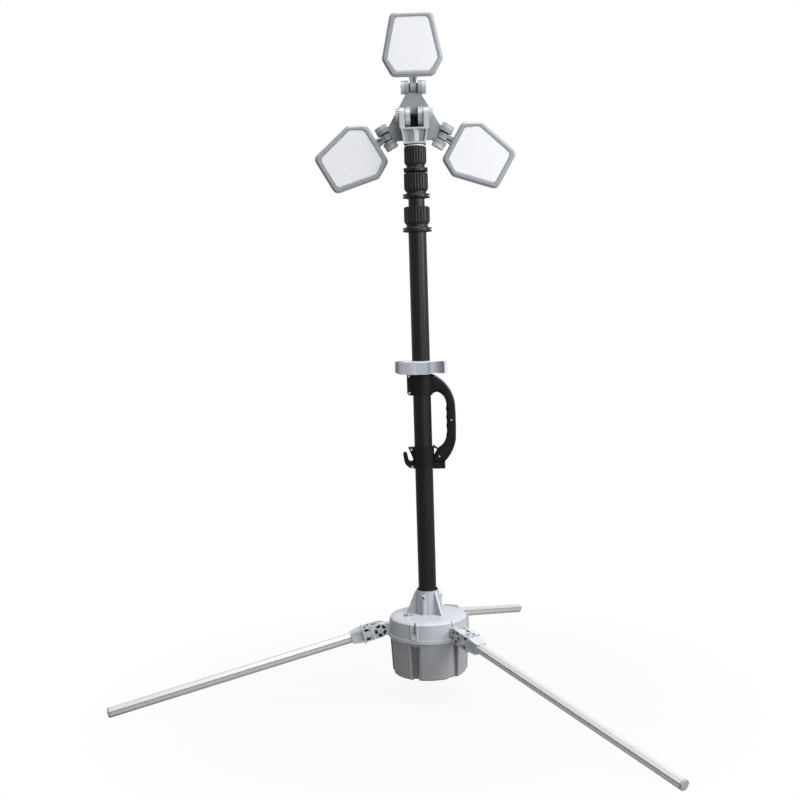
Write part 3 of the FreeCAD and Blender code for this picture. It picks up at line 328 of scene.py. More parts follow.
hinge = Vector(joints["leg_left"]["pos_m"])
HINGE_REACH = math.hypot(hinge.x, hinge.y) / MM
HINGE_RISE = hinge.z / MM
HOUSING_TURN = Matrix.Rotation(math.atan2(hinge.y, hinge.x), 4, "Z")
BUCKET_TOP = high_of("bucket")
LID_FACE = low_of("mast_socket")
MAST_RADIUS = high_of("mast_tube_outer", "x")
FIT = 0.05
HINGE_BORE, BOLT_BORE, LAMP_BORE = 5.05, 3.05, 4.05
TILT_RISE = joints["head"]["pos_m"][2] / MM
PLATE_MIDDLE = joints["lamp_top"]["pos_m"][1] / MM
PLATE_DROP = 10.0
PLATE_CENTRE = TILT_RISE - PLATE_DROP
LAMP_PIN_REACH = (joints["lamp_top"]["pos_m"][2] - joints["head"]["pos_m"][2]) / MM + PLATE_DROP


def leg_frame(word):
    """A leg's own frame: X along its tube from the hinge, Y along the pin."""
    place = Vector(joints["leg_" + word]["pos_m"])
    turn = Matrix.Rotation(math.atan2(place.y, place.x), 4, "Z")
    return Matrix.Translation(place) @ turn @ Matrix.Rotation(LEG_SLOPE, 4, "Y")


def plate_frame(turn=0.0):
    """The head plate's frame: Y runs back from the lenses, Z out along a lamp's arm."""
    place = Vector((0, PLATE_MIDDLE, PLATE_CENTRE)) * MM
    return Matrix.Translation(place) @ Matrix.Rotation(math.radians(turn), 4, "Y")


def three(maker):
    return around(maker, 3)


# The camera at the photograph's viewing angle, the floor and the light, in metres and degrees

CAMERA_PLACE = Vector((-0.0165, -2.7007, 0.8753))
CAMERA_YAW = 0.75
CAMERA_DOWN = 4.80
CAMERA_ROLL = -1.72
CAMERA_LENS = 52.04
SENSOR_WIDTH = 36.0


def add_node(tree, kind, links=None, **settings):
    """A node with its settings, and its sockets linked or given plain values."""
    made = tree.nodes.new(kind)
    for name, value in settings.items():
        setattr(made, name, value)
    for socket, value in (links or {}).items():
        if isinstance(value, bpy.types.NodeSocket):
            tree.links.new(value, made.inputs[socket])
        else:
            made.inputs[socket].default_value = value
    return made


def make_camera():
    """A camera turned by yaw, then down, then rolled about its own line of sight."""
    yaw, down, roll = (math.radians(a) for a in (CAMERA_YAW, CAMERA_DOWN, CAMERA_ROLL))
    ahead = Vector((-math.sin(yaw) * math.cos(down), math.cos(yaw) * math.cos(down), -math.sin(down)))
    level = Vector((math.cos(yaw), math.sin(yaw), 0.0))
    over = level.cross(ahead)
    right = math.cos(roll) * level + math.sin(roll) * over
    up = -math.sin(roll) * level + math.cos(roll) * over
    data = bpy.data.cameras.new("photo_camera")
    data.sensor_width = SENSOR_WIDTH
    data.lens = CAMERA_LENS
    camera = link_new("photo_camera", data)
    turn = Matrix((right, up, -ahead)).transposed().to_4x4()
    camera.matrix_world = Matrix.Translation(CAMERA_PLACE) @ turn
    bpy.context.scene.camera = camera


def add_studio_light(name, place, target, width, height, power):
    """A soft rectangular light that faces a point."""
    data = bpy.data.lights.new(name, "AREA")
    data.shape = "RECTANGLE"
    data.size = width
    data.size_y = height
    data.energy = power
    light = link_new(name, data)
    light.location = place
    light.rotation_euler = (Vector(target) - Vector(place)).to_track_quat("-Z", "Y").to_euler()


def make_world():
    """White where the camera looks, also through glass or in metal, and a plain level of light."""
    world = bpy.data.worlds.new("studio")
    bpy.context.scene.world = world
    world.use_nodes = True
    tree = world.node_tree
    tree.nodes.clear()
    seen = add_node(tree, "ShaderNodeBackground", {"Color": (1, 1, 1, 1), "Strength": 1.0})
    light = add_node(tree, "ShaderNodeBackground", {"Color": (0.93, 0.96, 1.0, 1), "Strength": 0.26})
    path = add_node(tree, "ShaderNodeLightPath").outputs
    looked_at = path["Is Camera Ray"]
    for ray in ("Is Transmission Ray", "Is Glossy Ray"):
        looked_at = add_node(tree, "ShaderNodeMath", {0: looked_at, 1: path[ray]},
                             operation="MAXIMUM").outputs[0]
    mix = add_node(tree, "ShaderNodeMixShader",
                   {"Fac": looked_at, 1: light.outputs[0], 2: seen.outputs[0]})
    add_node(tree, "ShaderNodeOutputWorld", {"Surface": mix.outputs[0]})


def make_floor(height):
    """A plain pale floor that keeps the object's soft shadow and runs out to white."""
    bm = bmesh.new()
    bmesh.ops.create_grid(bm, x_segments=1, y_segments=1, size=14.0)
    mesh = bpy.data.meshes.new("floor")
    bm.to_mesh(mesh)
    bm.free()
    mesh.transform(Matrix.Translation((0, 0, height)))
    floor = link_new("floor", mesh)
    material = bpy.data.materials.new("pale_floor")
    material.use_nodes = True
    tree = material.node_tree
    tree.nodes.clear()
    lit = add_node(tree, "ShaderNodeBsdfDiffuse", {"Color": (0.32, 0.32, 0.32, 1)})
    white = add_node(tree, "ShaderNodeEmission", {"Color": (1, 1, 1, 1), "Strength": 1.0})
    where = add_node(tree, "ShaderNodeTexCoord").outputs["Object"]
    reach = add_node(tree, "ShaderNodeVectorMath", {0: where}, operation="LENGTH")
    away = add_node(tree, "ShaderNodeMapRange", {
        "Value": reach.outputs["Value"], "From Min": 0.35, "From Max": 0.95, "To Min": 0.92},
        interpolation_type="SMOOTHSTEP")
    seen = add_node(tree, "ShaderNodeLightPath").outputs["Is Camera Ray"]
    share = add_node(tree, "ShaderNodeMath", {0: away.outputs[0], 1: seen}, operation="MULTIPLY")
    mix = add_node(tree, "ShaderNodeMixShader",
                   {"Fac": share.outputs[0], 1: lit.outputs[0], 2: white.outputs[0]})
    add_node(tree, "ShaderNodeOutputMaterial", {"Surface": mix.outputs[0]})
    mesh.materials.append(material)


def studio():
    make_camera()
    make_world()
    make_floor(cad_box[0][2] - 0.0002)
    add_studio_light("key", (2.6, -1.15, 1.8), (0, 0, 0.7), 1.4, 1.8, 92)
    add_studio_light("fill", (1.5, -3.3, 1.5), (0, 0, 0.7), 1.6, 2.0, 46)
    add_studio_light("top", (0.5, -0.5, 8.0), (0, 0, 0.5), 4.3, 4.3, 790)
    bpy.context.scene.view_settings.view_transform = "Standard"


# The housing and what stands on it

def make_bucket():
    """The battery bucket: a slight taper, three rimmed channels and three steep-sided grooves."""
    base_radius, chamfer, top_radius = 87.4, 4.0, 92.0
    channel_top, channel_floor, rim_proud, groove_floor = 82.0, 73.0, 0.9, 79.5
    shell = lathe("bucket", [(0, 0), (base_radius - chamfer, 0), (base_radius, chamfer),
                             (top_radius, BUCKET_TOP), (0, BUCKET_TOP)])
    for low, high in ((-17.5, -9.5), (7.5, 16.5)):
        join(shell, *three(lambda: upright("rim", [
            (-60, chamfer), (-base_radius - rim_proud, chamfer), (-top_radius - rim_proud, channel_top + 4),
            (-60, channel_top + 4)], low, high)))
    cut(shell, *three(lambda: sideways("channel", [
        (-5.5, -2), (9.5, -2), (12.0, channel_top), (-12.0, channel_top)], -110, -channel_floor)))
    cut(shell, *three(lambda: block("groove", (groove_floor, -14, -5), (110, 14, BUCKET_TOP + 5))))
    soften(shell, 1.0)
    settle(turned(shell, HOUSING_TURN), "bucket_shell", "housing_grey", "base", "bucket")


def make_lid():
    """The lid: rolled lip, crowned top, slotted screw bosses and the three hinge tongues."""
    lip_radius, lip_top, wall_base, wall_top, edge = 95.5, 97.0, 92.2, 90.8, 3.0
    crown_radius, shoulder = 70.0, 135.0
    boss_half, boss_face, slot_half = 8.2, 96.4, 2.6
    tongue_half, tongue_drop, eye_radius = 10.5, 14.0, 14.0
    dot_place, dot_radius = (-39.5, -29), 3.4

    def on_hinge(aside):
        return HINGE_REACH, aside, HINGE_RISE

    lid = lathe("lid", [
        (0, BUCKET_TOP), (lip_radius, BUCKET_TOP), (lip_radius, lip_top), (wall_base, lip_top),
        (wall_top, shoulder - edge), (wall_top - edge, shoulder), (crown_radius, LID_FACE), (0, LID_FACE)])
    boss_foot, boss_head = BUCKET_TOP + 0.6, shoulder - edge - 0.4
    join(lid, *three(lambda: sideways("boss", [
        (-3, boss_foot), (3, boss_foot), (boss_half, boss_foot + 7), (boss_half, boss_head),
        (-boss_half, boss_head), (-boss_half, boss_foot + 7)], -boss_face, -80)))
    cut(lid, *three(lambda: upright("boss_dip", [
        (-110, lip_top + 4), (-boss_face + 0.8, lip_top + 4), (-boss_face + 3.6, lip_top + 12),
        (-boss_face + 3.6, shoulder + 4), (-110, shoulder + 4)], -boss_half + 2.3, boss_half - 2.3)))
    cut(lid, *three(lambda: sideways("slot", [
        (-slot_half, lip_top + 14), (0, lip_top + 10), (slot_half, lip_top + 14), (slot_half, shoulder + 6),
        (-slot_half, shoulder + 6)], -100, -84)))
    join(lid, *three(lambda: upright("tongue", [
        (85, HINGE_RISE - tongue_drop), (HINGE_REACH, HINGE_RISE - tongue_drop),
        (HINGE_REACH, HINGE_RISE + eye_radius), (85, HINGE_RISE + eye_radius)],
        -tongue_half + 2.5, tongue_half - 2.5)))
    join(lid, *three(lambda: rod("tongue_eye", on_hinge(-tongue_half), on_hinge(tongue_half), eye_radius)))
    join(lid, *three(lambda: upright("stop_fin", [
        (84, HINGE_RISE + 10), (92.9, HINGE_RISE + 10), (92.9, shoulder - edge),
        (88, shoulder + 2.5), (82, shoulder)], -2.9, 2.9)))
    cut(lid, *three(lambda: rod("pin_bore", on_hinge(-30), on_hinge(30), HINGE_BORE)))
    soften(lid, 0.9)
    cut(turned(lid, HOUSING_TURN),
        rod("socket_dot", (*dot_place, LID_FACE - 1.5), (*dot_place, LID_FACE + 2), dot_radius))
    settle(lid, "lid_shell", "lid_grey", "base", "lid")
    dot = rod("dot", (*dot_place, LID_FACE - 1.6), (*dot_place, LID_FACE - 0.9), dot_radius)
    settle(dot, "lid_socket_dot", "seal_black", "base")
    button = low_of("lid_controls", "x") + 6, low_of("lid_controls", "y") + 6
    switch = rod("switch", (*button, LID_FACE - 0.5), (*button, LID_FACE + 2.8), 6.0)
    cut(switch, rod("dish", (*button, LID_FACE + 2.0), (*button, LID_FACE + 4.0), 4.2))
    soften(switch, 0.5)
    settle(switch, "lid_switch", "control_grey", "base", "lid_controls")


def make_mast_socket():
    """The tapered socket on the lid with three gussets and three hooded screw bosses."""
    top = high_of("mast_socket")
    bore, base_radius, top_radius = MAST_RADIUS + FIT, 30.0, 27.0
    boss_radius, boss_place, hood_rise = 6.2, 27.4, top - 14.0
    socket = lathe("socket", [(bore, LID_FACE), (base_radius, LID_FACE), (top_radius, top), (bore, top)])
    join(socket, *three(lambda: upright("gusset", [
        (24, LID_FACE), (51, LID_FACE), (51, LID_FACE + 2.5),
        (top_radius + 2.5, top - 3), (24, top - 3)], -2.5, 2.5)))
    join(socket, *three(lambda: rod("screw_boss", (-boss_place, 0, LID_FACE), (-boss_place, 0, hood_rise),
                                    boss_radius)))
    join(socket, *three(lambda: rod("hood", (-22, 0, hood_rise), (-boss_place - boss_radius, 0, hood_rise),
                                    boss_radius)))
    cut(socket, *three(lambda: rod("screw_hole", (-26, 0, hood_rise), (-45, 0, hood_rise), 3.2)))
    cut(socket, rod("mast_bore", (0, 0, LID_FACE - 5), (0, 0, top + 5), bore, steps=96))
    soften(socket, 0.8)
    settle(turned(socket, HOUSING_TURN), "mast_socket_moulding", "lid_grey", "base", "mast_socket")
    seal_top = high_of("mast_seal")
    seal = lathe("seal", [(bore, top), (24.8, top), (24.4, top + 1.6), (22.8, seal_top), (bore, seal_top)])
    soften(seal, 0.5)
    settle(seal, "mast_seal_ring", "seal_black", "base", "mast_seal")
    pins = [screw((-boss_place + 1, 0, hood_rise), (-1, 0, 0), 2.6) for number in range(3)]
    for number, pin in enumerate(pins):
        turned(pin, HOUSING_TURN @ Matrix.Rotation(number * math.tau / 3, 4, "Z"))
    settle(joined("socket_screws", pins), "socket_screws", "steel", "base")


# The mast and its twist locks

MAST_TUBES = [("outer", "base"), ("second", "mast_second"), ("third", "mast_third"), ("top", "mast_top")]
LOCKS = [("lower", "outer", "base"), ("middle", "second", "mast_second"), ("upper", "third", "mast_third")]


def make_mast_tubes():
    wall = 1.8
    for word, body in MAST_TUBES:
        node = "mast_tube_" + word
        radius, low, high = high_of(node, "x"), low_of(node), high_of(node)
        tube = lathe(word, [(radius - wall, low), (radius, low), (radius, high), (radius - wall, high)])
        soften(tube, 0.4, segments=2)
        settle(tube, "tube_" + word, "mast_black", body, node)


def make_lock(word, tube, body):
    """One twist lock: an eared collar on the tube's end and a ribbed knob on its neck."""
    tube_radius = high_of("mast_tube_" + tube, "x")
    base, top = low_of(word + "_collar"), low_of(word + "_collar") + 11.0
    band, neck, neck_top = tube_radius + 9.2, tube_radius + 4.0, high_of(word + "_collar")
    ring = lathe("collar", [
        (tube_radius + FIT, base), (band - 2.5, base), (band, base + 2.5), (band, top - 2.5),
        (band - 2.5, top), (neck + 1.0, top), (neck + 1.0, top + 1.6), (neck, top + 1.6), (neck, neck_top),
        (tube_radius + FIT, neck_top)])
    proud = 1.6 if word == "upper" else 2.8
    for side in (-1, 1):
        near, far = span(side, neck + 0.5, band + proud)
        join(ring, block("ear", (near, -6, base + 0.6), (far, 6, top - 0.6)))
        cut(ring, block("slit", (near - 1, -1, base - 1), (far + 1, 1, top - 1)))
    soften(ring, 0.9)
    settle(ring, word + "_collar_ring", "lock_black", body, word + "_collar")
    if word != "upper":
        heads = [screw((side * (band + 0.5), -6, base + 5.5), (0, -1, 0), 1.6, height=0.8)
                 for side in (-1, 1)]
        settle(joined("ear_screws", heads), word + "_ear_screws", "steel", body)

    rim, low, high = high_of(word + "_knob", "x"), low_of(word + "_knob"), high_of(word + "_knob")
    step, mouth = low + 20.0, tube_radius - 1.8
    knob = lathe("knob", [
        (neck + FIT, low), (rim - 3.6, low), (rim - 0.2, low + 6), (rim, low + 7), (rim, high - 3.2),
        (rim - 0.9, high - 1.0), (rim - 3.0, high), (mouth, high), (mouth, step), (neck + FIT, step)],
        steps=144)
    flutes = joined("flutes", around(lambda: rod("flute", (rim + 0.6, 0, low - 1), (rim + 0.6, 0, high + 1),
                                                 2.7, steps=16), 24))
    cut(knob, flutes)
    soften(knob, 0.5, segments=2, angle=20)
    settle(knob, word + "_knob_grip", "lock_black", body, word + "_knob")


# The cradle, the clamps and the grip

def make_cradle():
    """The alloy plate on the mast: a round notch for each folded leg and a sunk land beside it. Darker sheets
    on the lands and in the notches are painted shade.
    """
    low, high, radius, sunk = low_of("leg_cradle"), high_of("leg_cradle"), 60.0, 56.6
    bore, notch_radius = MAST_RADIUS + FIT, 22
    plate = lathe("cradle", [(bore, low), (radius, low), (radius, high), (bore, high)], steps=120)
    cut(plate, *three(lambda: rod("notch", (radius, 0, low - 5), (radius, 0, high + 5), notch_radius,
                                  steps=96)))
    aside = Matrix.Rotation(math.radians(83.0), 4, "Z")
    flats = three(lambda: block("flat", (sunk, -15, low - 5), (70, 15, high + 5)))
    cut(plate, *[turned(flat, aside) for flat in flats])
    soften(plate, 1.2)
    settle(turned(plate, HOUSING_TURN), "cradle_plate", "cradle_alloy", "base", "leg_cradle")
    # Sheets on the sunk flats in a darker, bluer tone: painted shade, standing in for the darker reflection
    # that the flats show.
    lands = joined("lands", three(lambda: soften(block(
        "land", (sunk - 1.0, -14.8, low + 1.4), (sunk + 0.4, 14.8, high - 1.4)), 0.3, segments=2)))
    settle(turned(lands, HOUSING_TURN @ aside), "cradle_land_shades", "cradle_alloy", "base", look="land_painted_shade")
    # Thin dark sheets in the notches: painted shade for the notches' concave walls.
    notch_shade_sheet = rod("notch_shade_sheet", (radius, 0, low + 1.4), (radius, 0, high - 1.4), notch_radius + 0.3, steps=96)
    cut(notch_shade_sheet, rod("room", (radius, 0, low), (radius, 0, high), notch_radius - 0.4, steps=96),
        block("outside", (radius - 1.6, -40, low), (radius + 40, 40, high)))
    notch_shade_sheets = joined("notch_shade_sheets", around(lambda: copy_of(notch_shade_sheet), 3))
    discard(notch_shade_sheet)
    settle(turned(notch_shade_sheets, HOUSING_TURN), "cradle_notch_shades", "cradle_alloy", "base", look="notch_painted_shade")


def make_clamps():
    """The two split clamps on the mast, the lower one with the cable hook."""
    bore, radius = MAST_RADIUS + FIT, 25.0
    low, high = low_of("upper_clamp"), high_of("upper_clamp")
    upper = lathe("upper", [(bore, low), (radius, low), (radius, high), (bore, high)])
    ear = [(-22.5, low), (-22.5, high), (-34.5, high), (-34.5, low + 8),
           *arc((-34.5, low + 8), (-26.5, low), 8.0)[1:], (-26.5, low)]
    join(upper, upright("ear", ear, -10, 10))
    join(upper, block("handle_seat", (22.5, -10.5, low + 3), (25.2, 10.5, high - 2)))
    cut(upper, block("slit", (-40, -1, low - 1), (-21.5, 1, high + 1)))
    soften(upper, 1.4)
    settle(upper, "upper_clamp_body", "handle_black", "base", "upper_clamp")

    low, high = low_of("lower_clamp") + 2.0, high_of("lower_clamp")
    lower = lathe("lower", [(bore, low), (radius, low), (radius, high), (bore, high)])
    tip = low + 34
    hook = [(-22.5, low), (-22.5, high), (-36, high), *arc((-24.6, low + 21), (-35.5, low + 20), -5.9),
            (-35.5, low + 20), *arc((-38.8, tip), (-48.4, tip), 4.8), (-48.4, tip),
            *arc((-45.7, low + 17), (-30, low), 24.0), (-30, low)]
    join(lower, upright("hook", hook, -7, 7))
    join(lower, block("stud", (22.5, -9, low - 2), (50, 9, low + 14)))
    join(lower, upright("shoulder", [(22.5, high - 2), (22.5, high + 2.5), (25.5, high + 2.5), (35, high - 5),
                                     (33, high - 7), (27, high - 3)], -8, 8))
    cut(lower, rod("mast_way", (0, 0, low - 5), (0, 0, high + 5), bore, steps=96))
    soften(lower, 1.3)
    settle(lower, "lower_clamp_body", "handle_black", "base", "lower_clamp")
    upper_high, upper_low = high_of("upper_clamp"), low_of("upper_clamp")
    heads = [screw(place, (0, -1, 0), 2.6) for place in (
        (-29.5, -10, upper_high - 6), (-29.5, -10, upper_low + 6),
        (-28.8, -7, high - 5.8), (-27.2, -7, low + 3.6))]
    settle(joined("screws", heads), "clamp_screws", "steel", "base")


def make_grip():
    """The carrying bow, a rounded bar with finger hollows inside, and a pale strip along its outer edge that
    is a painted highlight.
    """
    cradle_base, clamp_base = low_of("leg_cradle"), low_of("lower_clamp") + 2.0
    root, reach, inner = 24.8, 78.3, 54.6
    heel, shoulder, finger = clamp_base + 73, cradle_base - 85, cradle_base - 65
    foot, half_width, squareness = clamp_base + 14.3, 11.0, 0.55
    outer_line = [(root, foot), *arc((50, foot), (reach - 1.5, heel - 6), 93, 40),
                  *arc((reach - 1.5, heel - 6), (reach - 1.0, shoulder), 900, 16),
                  *arc((reach - 1.0, shoulder), (root, cradle_base - 2), 85, 40), (root, cradle_base - 2)]
    inner_line = [(root, foot + 16), (28.5, foot + 24), *arc((36, foot + 34), (inner, finger - 80), 34, 24)]
    for number in range(4, 0, -1):
        inner_line += arc((inner, finger - 20 * number), (inner, finger - 20 * (number - 1)), 32, 10)
    inner_line += [*arc((inner, finger), (root + 8, cradle_base - 44), 28, 20), (root, cradle_base - 48)]

    def along(line, share):
        spans = [(Vector(b) - Vector(a)).length for a, b in zip(line, line[1:])]
        left = share * sum(spans)
        for (a, b), span in zip(zip(line, line[1:]), spans):
            if left <= span:
                return Vector(a).lerp(Vector(b), left / span)
            left -= span
        return Vector(line[-1])

    def place_of(share, round_share):
        outside, inside = along(outer_line, share), along(inner_line, share)
        angle = round_share * math.tau
        wide, deep = math.cos(angle), math.sin(angle)
        across = math.copysign(abs(wide) ** squareness, wide)
        depth = math.copysign(abs(deep) ** squareness, deep)
        spot = (outside + inside) / 2 + (outside - inside) / 2 * depth
        return (spot.x, across * half_width, spot.y)

    def highlight_strip_of(share, round_share):
        outside, inside = along(outer_line, 0.6 + share * 0.38), along(inner_line, 0.6 + share * 0.38)
        spot = outside + (inside - outside).normalized() * 1.7
        angle = round_share * math.tau
        return (spot.x + 0.9 * math.cos(angle), -8.9 + 1.5 * math.sin(angle),
                spot.y + 1.3 * math.cos(angle))

    bow = soften(swept("grip", place_of, 120, 40), 0.3, segments=2, angle=50)
    settle(bow, "grip_bow", "handle_black", "base", "handle_grip")
    # The strip's light colour is a painted highlight along the bow's top outer edge; its gloss is real.
    settle(swept("edge", highlight_strip_of, 40, 12), "grip_painted_highlight", "handle_black", "base", look="painted_edge_highlight")
    heads = [screw(place, (0, -1, 0), 1.9) for place in ((67, -11, cradle_base - 111), (37, -11, foot + 13))]
    settle(joined("grip_screws", heads), "grip_screws", "steel", "base")


# The legs, each in its own frame: hinge pin at the origin, tube along X

BOLT_PLACE, LEG_HALF, LEG_CORNER = 28.0, 11.0, 6.2


def make_leg_socket():
    """A leg's moulded socket with its hinge cheeks, flanges, windows and sector pockets."""
    inside, outside, eye = 11.0, 17.0, 16.0
    body = upright("socket", [(0, -eye), (40, -16.4), (70, -12.4), (70, 12.4), (40, 16.4), (0, eye)],
                   -outside, outside)
    for side in (-1, 1):
        cut(body, prism("taper", [(42, side * outside), (71, side * 13.4), (71, side * 30), (42, side * 30)],
                        -30, 30))
        near, far = span(side, 13.0, 30)
        cut(body, block("panel", (43.5, near, -9.5), (67, far, 9.5)))
    join(body, rod("eye", (0, -outside, 0), (0, outside, 0), eye, steps=72))
    join(body, block("rear_flange", (19.5, -18.5, -17.2), (22.5, 18.5, 17.2)),
         block("front_flange", (39, -18.5, -19.5), (42, 18.5, 19.5)))
    join(body, rod("lock_boss", (BOLT_PLACE, -outside - 1.2, 0), (BOLT_PLACE, outside + 1.2, 0), 7.0))
    cut(body, block("gap", (-30, -inside, -40), (19.5, inside, 40)))
    cut(body, sideways("bore", eight(LEG_HALF + FIT, LEG_CORNER), 15, 75))
    for side in (-1, 1):
        window = rounded([(24, side * 7.4), (37.5, side * 7.4), (37.5, side * 14.2), (30, side * 14.2)],
                         0.7, 3)
        cut(body, upright("window", window, -30, -12.0), upright("window", window, 12.0, 30))
        for first, last, turn in ((24, 34.5, -1), (37.5, 27, 1)):
            cut(body, prism("top_window", [(first, turn * 12.5), (last, turn * 12.5), (first, -turn * 9)],
                            *span(side, 10, 30)))
    spread = [math.radians(angle) for angle in (-27, -14, 0, 14, 27)]
    sector = [(14.4 * math.cos(angle), 14.4 * math.sin(angle)) for angle in spread]
    sector += [(7.4 * math.cos(angle), 7.4 * math.sin(angle)) for angle in reversed(spread)]
    for side in (-1, 1):
        cut(body, *around(lambda: upright("pocket", sector, *span(side, 11.9, 30)), 5, "Y"))
    cut(body, rod("pin_hole", (0, -30, 0), (0, 30, 0), HINGE_BORE),
        rod("lock_hole", (BOLT_PLACE, -30, 0), (BOLT_PLACE, 30, 0), BOLT_BORE))
    return soften(body, 0.6)


def eight(half, corner):
    """A square outline with its corners cut off."""
    inner = half - corner
    return [(inner, -half), (half, -inner), (half, inner), (inner, half),
            (-inner, half), (-half, inner), (-half, -inner), (-inner, -half)]


def run_lengthwise(piece):
    """A UV map that follows a bar: metres along X, and metres round it."""
    layer = piece.data.uv_layers.new(name="along")
    for loop in piece.data.loops:
        spot = piece.data.vertices[loop.vertex_index].co
        layer.data[loop.index].uv = (spot.x, math.atan2(spot.z, spot.y) * LEG_HALF * MM)


def make_socket_shade_sheets():
    """Dark sheets at the floors of the hollows in a leg socket's two cheeks: painted shade for the hollows.
    """
    hollow_shade_sheets = []
    for side in (-1, 1):
        low, high = span(side, 11.9, 12.3)
        ring = rod("floor", (0, low, 0), (0, high, 0), 14.8)
        cut(ring, rod("middle", (0, low - 1, 0), (0, high + 1, 0), 7.0))
        hollow_shade_sheets.append(ring)
        for turn in (-1, 1):
            hollow_shade_sheets.append(upright("floor", [(23.8, turn * 7.2), (37.7, turn * 7.2), (37.7, turn * 14.4),
                                            (29.8, turn * 14.4)], low, high))
    return joined("hollow_shade_sheets", hollow_shade_sheets)


def make_legs():
    length, cap = 654.4, 6.0
    socket = make_leg_socket()
    hollow_shade_sheets = make_socket_shade_sheets()
    tube = sideways("tube", eight(LEG_HALF, LEG_CORNER), 22.0, length - cap)
    cut(tube, rod("lock_hole", (BOLT_PLACE, -30, 0), (BOLT_PLACE, 30, 0), BOLT_BORE))
    for side in (-1, 1):
        near, far = span(side, 9.0, 12)
        cut(tube, block("line", (72, near, 1.8), (length, far, 4.0)))
    run_lengthwise(soften(tube, 0.6))
    plug = sideways("plug", eight(LEG_HALF, LEG_CORNER), length - cap, length)
    soften(plug, 1.0)
    rivet = rod("pin", (0, -18.2, 0), (0, 18.2, 0), 5.0)
    join(rivet, *[rod("head", (0, side * 17.0, 0), (0, side * 18.6, 0), 5.8) for side in (-1, 1)])
    cut(rivet, *[rod("eye", (0, side * 17.0, 0), (0, side * 19.5, 0), 2.6) for side in (-1, 1)])
    soften(rivet, 0.5)
    bolt = rod("bolt", (BOLT_PLACE, -18.2, 0), (BOLT_PLACE, 18.2, 0), 3.0)
    cut(bolt, *[rod("socket", (BOLT_PLACE, side * 17.0, 0), (BOLT_PLACE, side * 19.0, 0), 1.7, steps=6)
                for side in (-1, 1)])
    soften(bolt, 0.3)
    forms = [(socket, "socket", "lid_grey"), (tube, "tube", "leg_alloy"), (plug, "plug", "housing_grey"),
             (rivet, "pins", "lid_grey"), (bolt, "bolt", "steel")]
    for form, part, slot in forms:
        for word in LEG_WORDS:
            piece = turned(copy_of(form), leg_frame(word))
            settle(piece, "%s_%s" % (word, part), slot, "leg_" + word, "leg_%s_%s" % (part, word))
        discard(form)
    # Each leg's socket gets its dark sheets of painted shade.
    for word in LEG_WORDS:
        piece = turned(copy_of(hollow_shade_sheets), leg_frame(word))
        settle(piece, word + "_socket_floors", "lid_grey", "leg_" + word, look="painted_hollow_shade")
    discard(hollow_shade_sheets)


# The head

def make_bracket():
    """The ribbed bracket on the top tube, its two tilt cheeks, and the ring that it sits on."""
    base, shelf, bore = low_of("head_bracket"), low_of("head_bracket") + 37.0, 14.75
    bracket = upright("bracket", [(-25.5, base), (25.5, base), (31, shelf), (-31, shelf)], -20, 16.5)
    for side in (-1, 1):
        hollow = rounded([(side * 2.2, base + 4.5), (side * 21.5, base + 4.5), (side * 26.6, shelf - 4.5),
                          (side * 2.2, shelf - 4.5)], 2.4, 4)
        cut(bracket, upright("hollow", hollow, -30, -9), upright("hollow", hollow, 13, 30))
    join(bracket, rod("core", (0, 0, base + 1), (0, 0, shelf - 1), 16.3, steps=72))
    join(bracket, block("shelf", (-32.5, -20.0, shelf - 3.2), (32.5, 16.5, shelf)))
    for side in (-1, 1):
        near, far = span(side, 21.5, 34.0)
        join(bracket, block("cheek", (near, -16, shelf - 4), (far, 16, TILT_RISE)))
        join(bracket, rod("cheek_eye", (near, 0, TILT_RISE), (far, 0, TILT_RISE), 15.99, steps=72))
    cut(bracket, rod("mast_way", (0, 0, base - 5), (0, 0, shelf - 4), bore, steps=72))
    cut(bracket, rod("bolt_way", (-60, 0, TILT_RISE), (60, 0, TILT_RISE), HINGE_BORE))
    soften(bracket, 0.9)
    settle(bracket, "bracket_moulding", "head_grey", "mast_top", "head_bracket")
    washer_base, gasket_base = high_of("upper_knob") + 0.4, base - 1.6
    gasket = lathe("gasket", [(bore, gasket_base), (24.6, gasket_base), (24.6, base), (bore, base)])
    settle(soften(gasket, 0.4, segments=2), "head_gasket", "seal_black", "mast_top")
    washer = lathe("washer", [(bore, washer_base), (22.4, washer_base), (22.4, gasket_base),
                              (bore, gasket_base)])
    settle(soften(washer, 0.4, segments=2), "head_washer", "lens_white", "mast_top", look="washer_white")


def make_tilt_bolt():
    """The bolt that the head tilts on, with a ridged knob at each end."""
    knobs = []
    for side in (-1, 1):
        knob = rod("tilt_knob", (side * 34.05, 0, 0), (side * 43, 0, 0), 14.8, steps=108)
        ridges = around(lambda: rod("ridge", (side * 30, 0, 15.6), (side * 46, 0, 15.6), 2.3, steps=12),
                        16, "X")
        cut(knob, joined("ridges", ridges))
        cut(knob, rod("dish", (side * 41.8, 0, 0), (side * 46, 0, 0), 10.0, steps=64))
        nut = rod("nut", (side * 41.5, 0, 0), (side * 43, 0, 0), 5.4, steps=6)
        knobs += [soften(knob, 0.5, segments=2), soften(nut, 0.4, segments=2)]
    rise = Matrix.Translation((0, 0, TILT_RISE * MM))
    settle(turned(joined("tilt", knobs), rise), "tilt_knobs", "head_grey", "mast_top", "tilt_bolt")
    shank = turned(rod("shank", (-35, 0, 0), (35, 0, 0), 5.0), rise)
    settle(shank, "tilt_shank", "lock_black", "mast_top", "tilt_bolt")


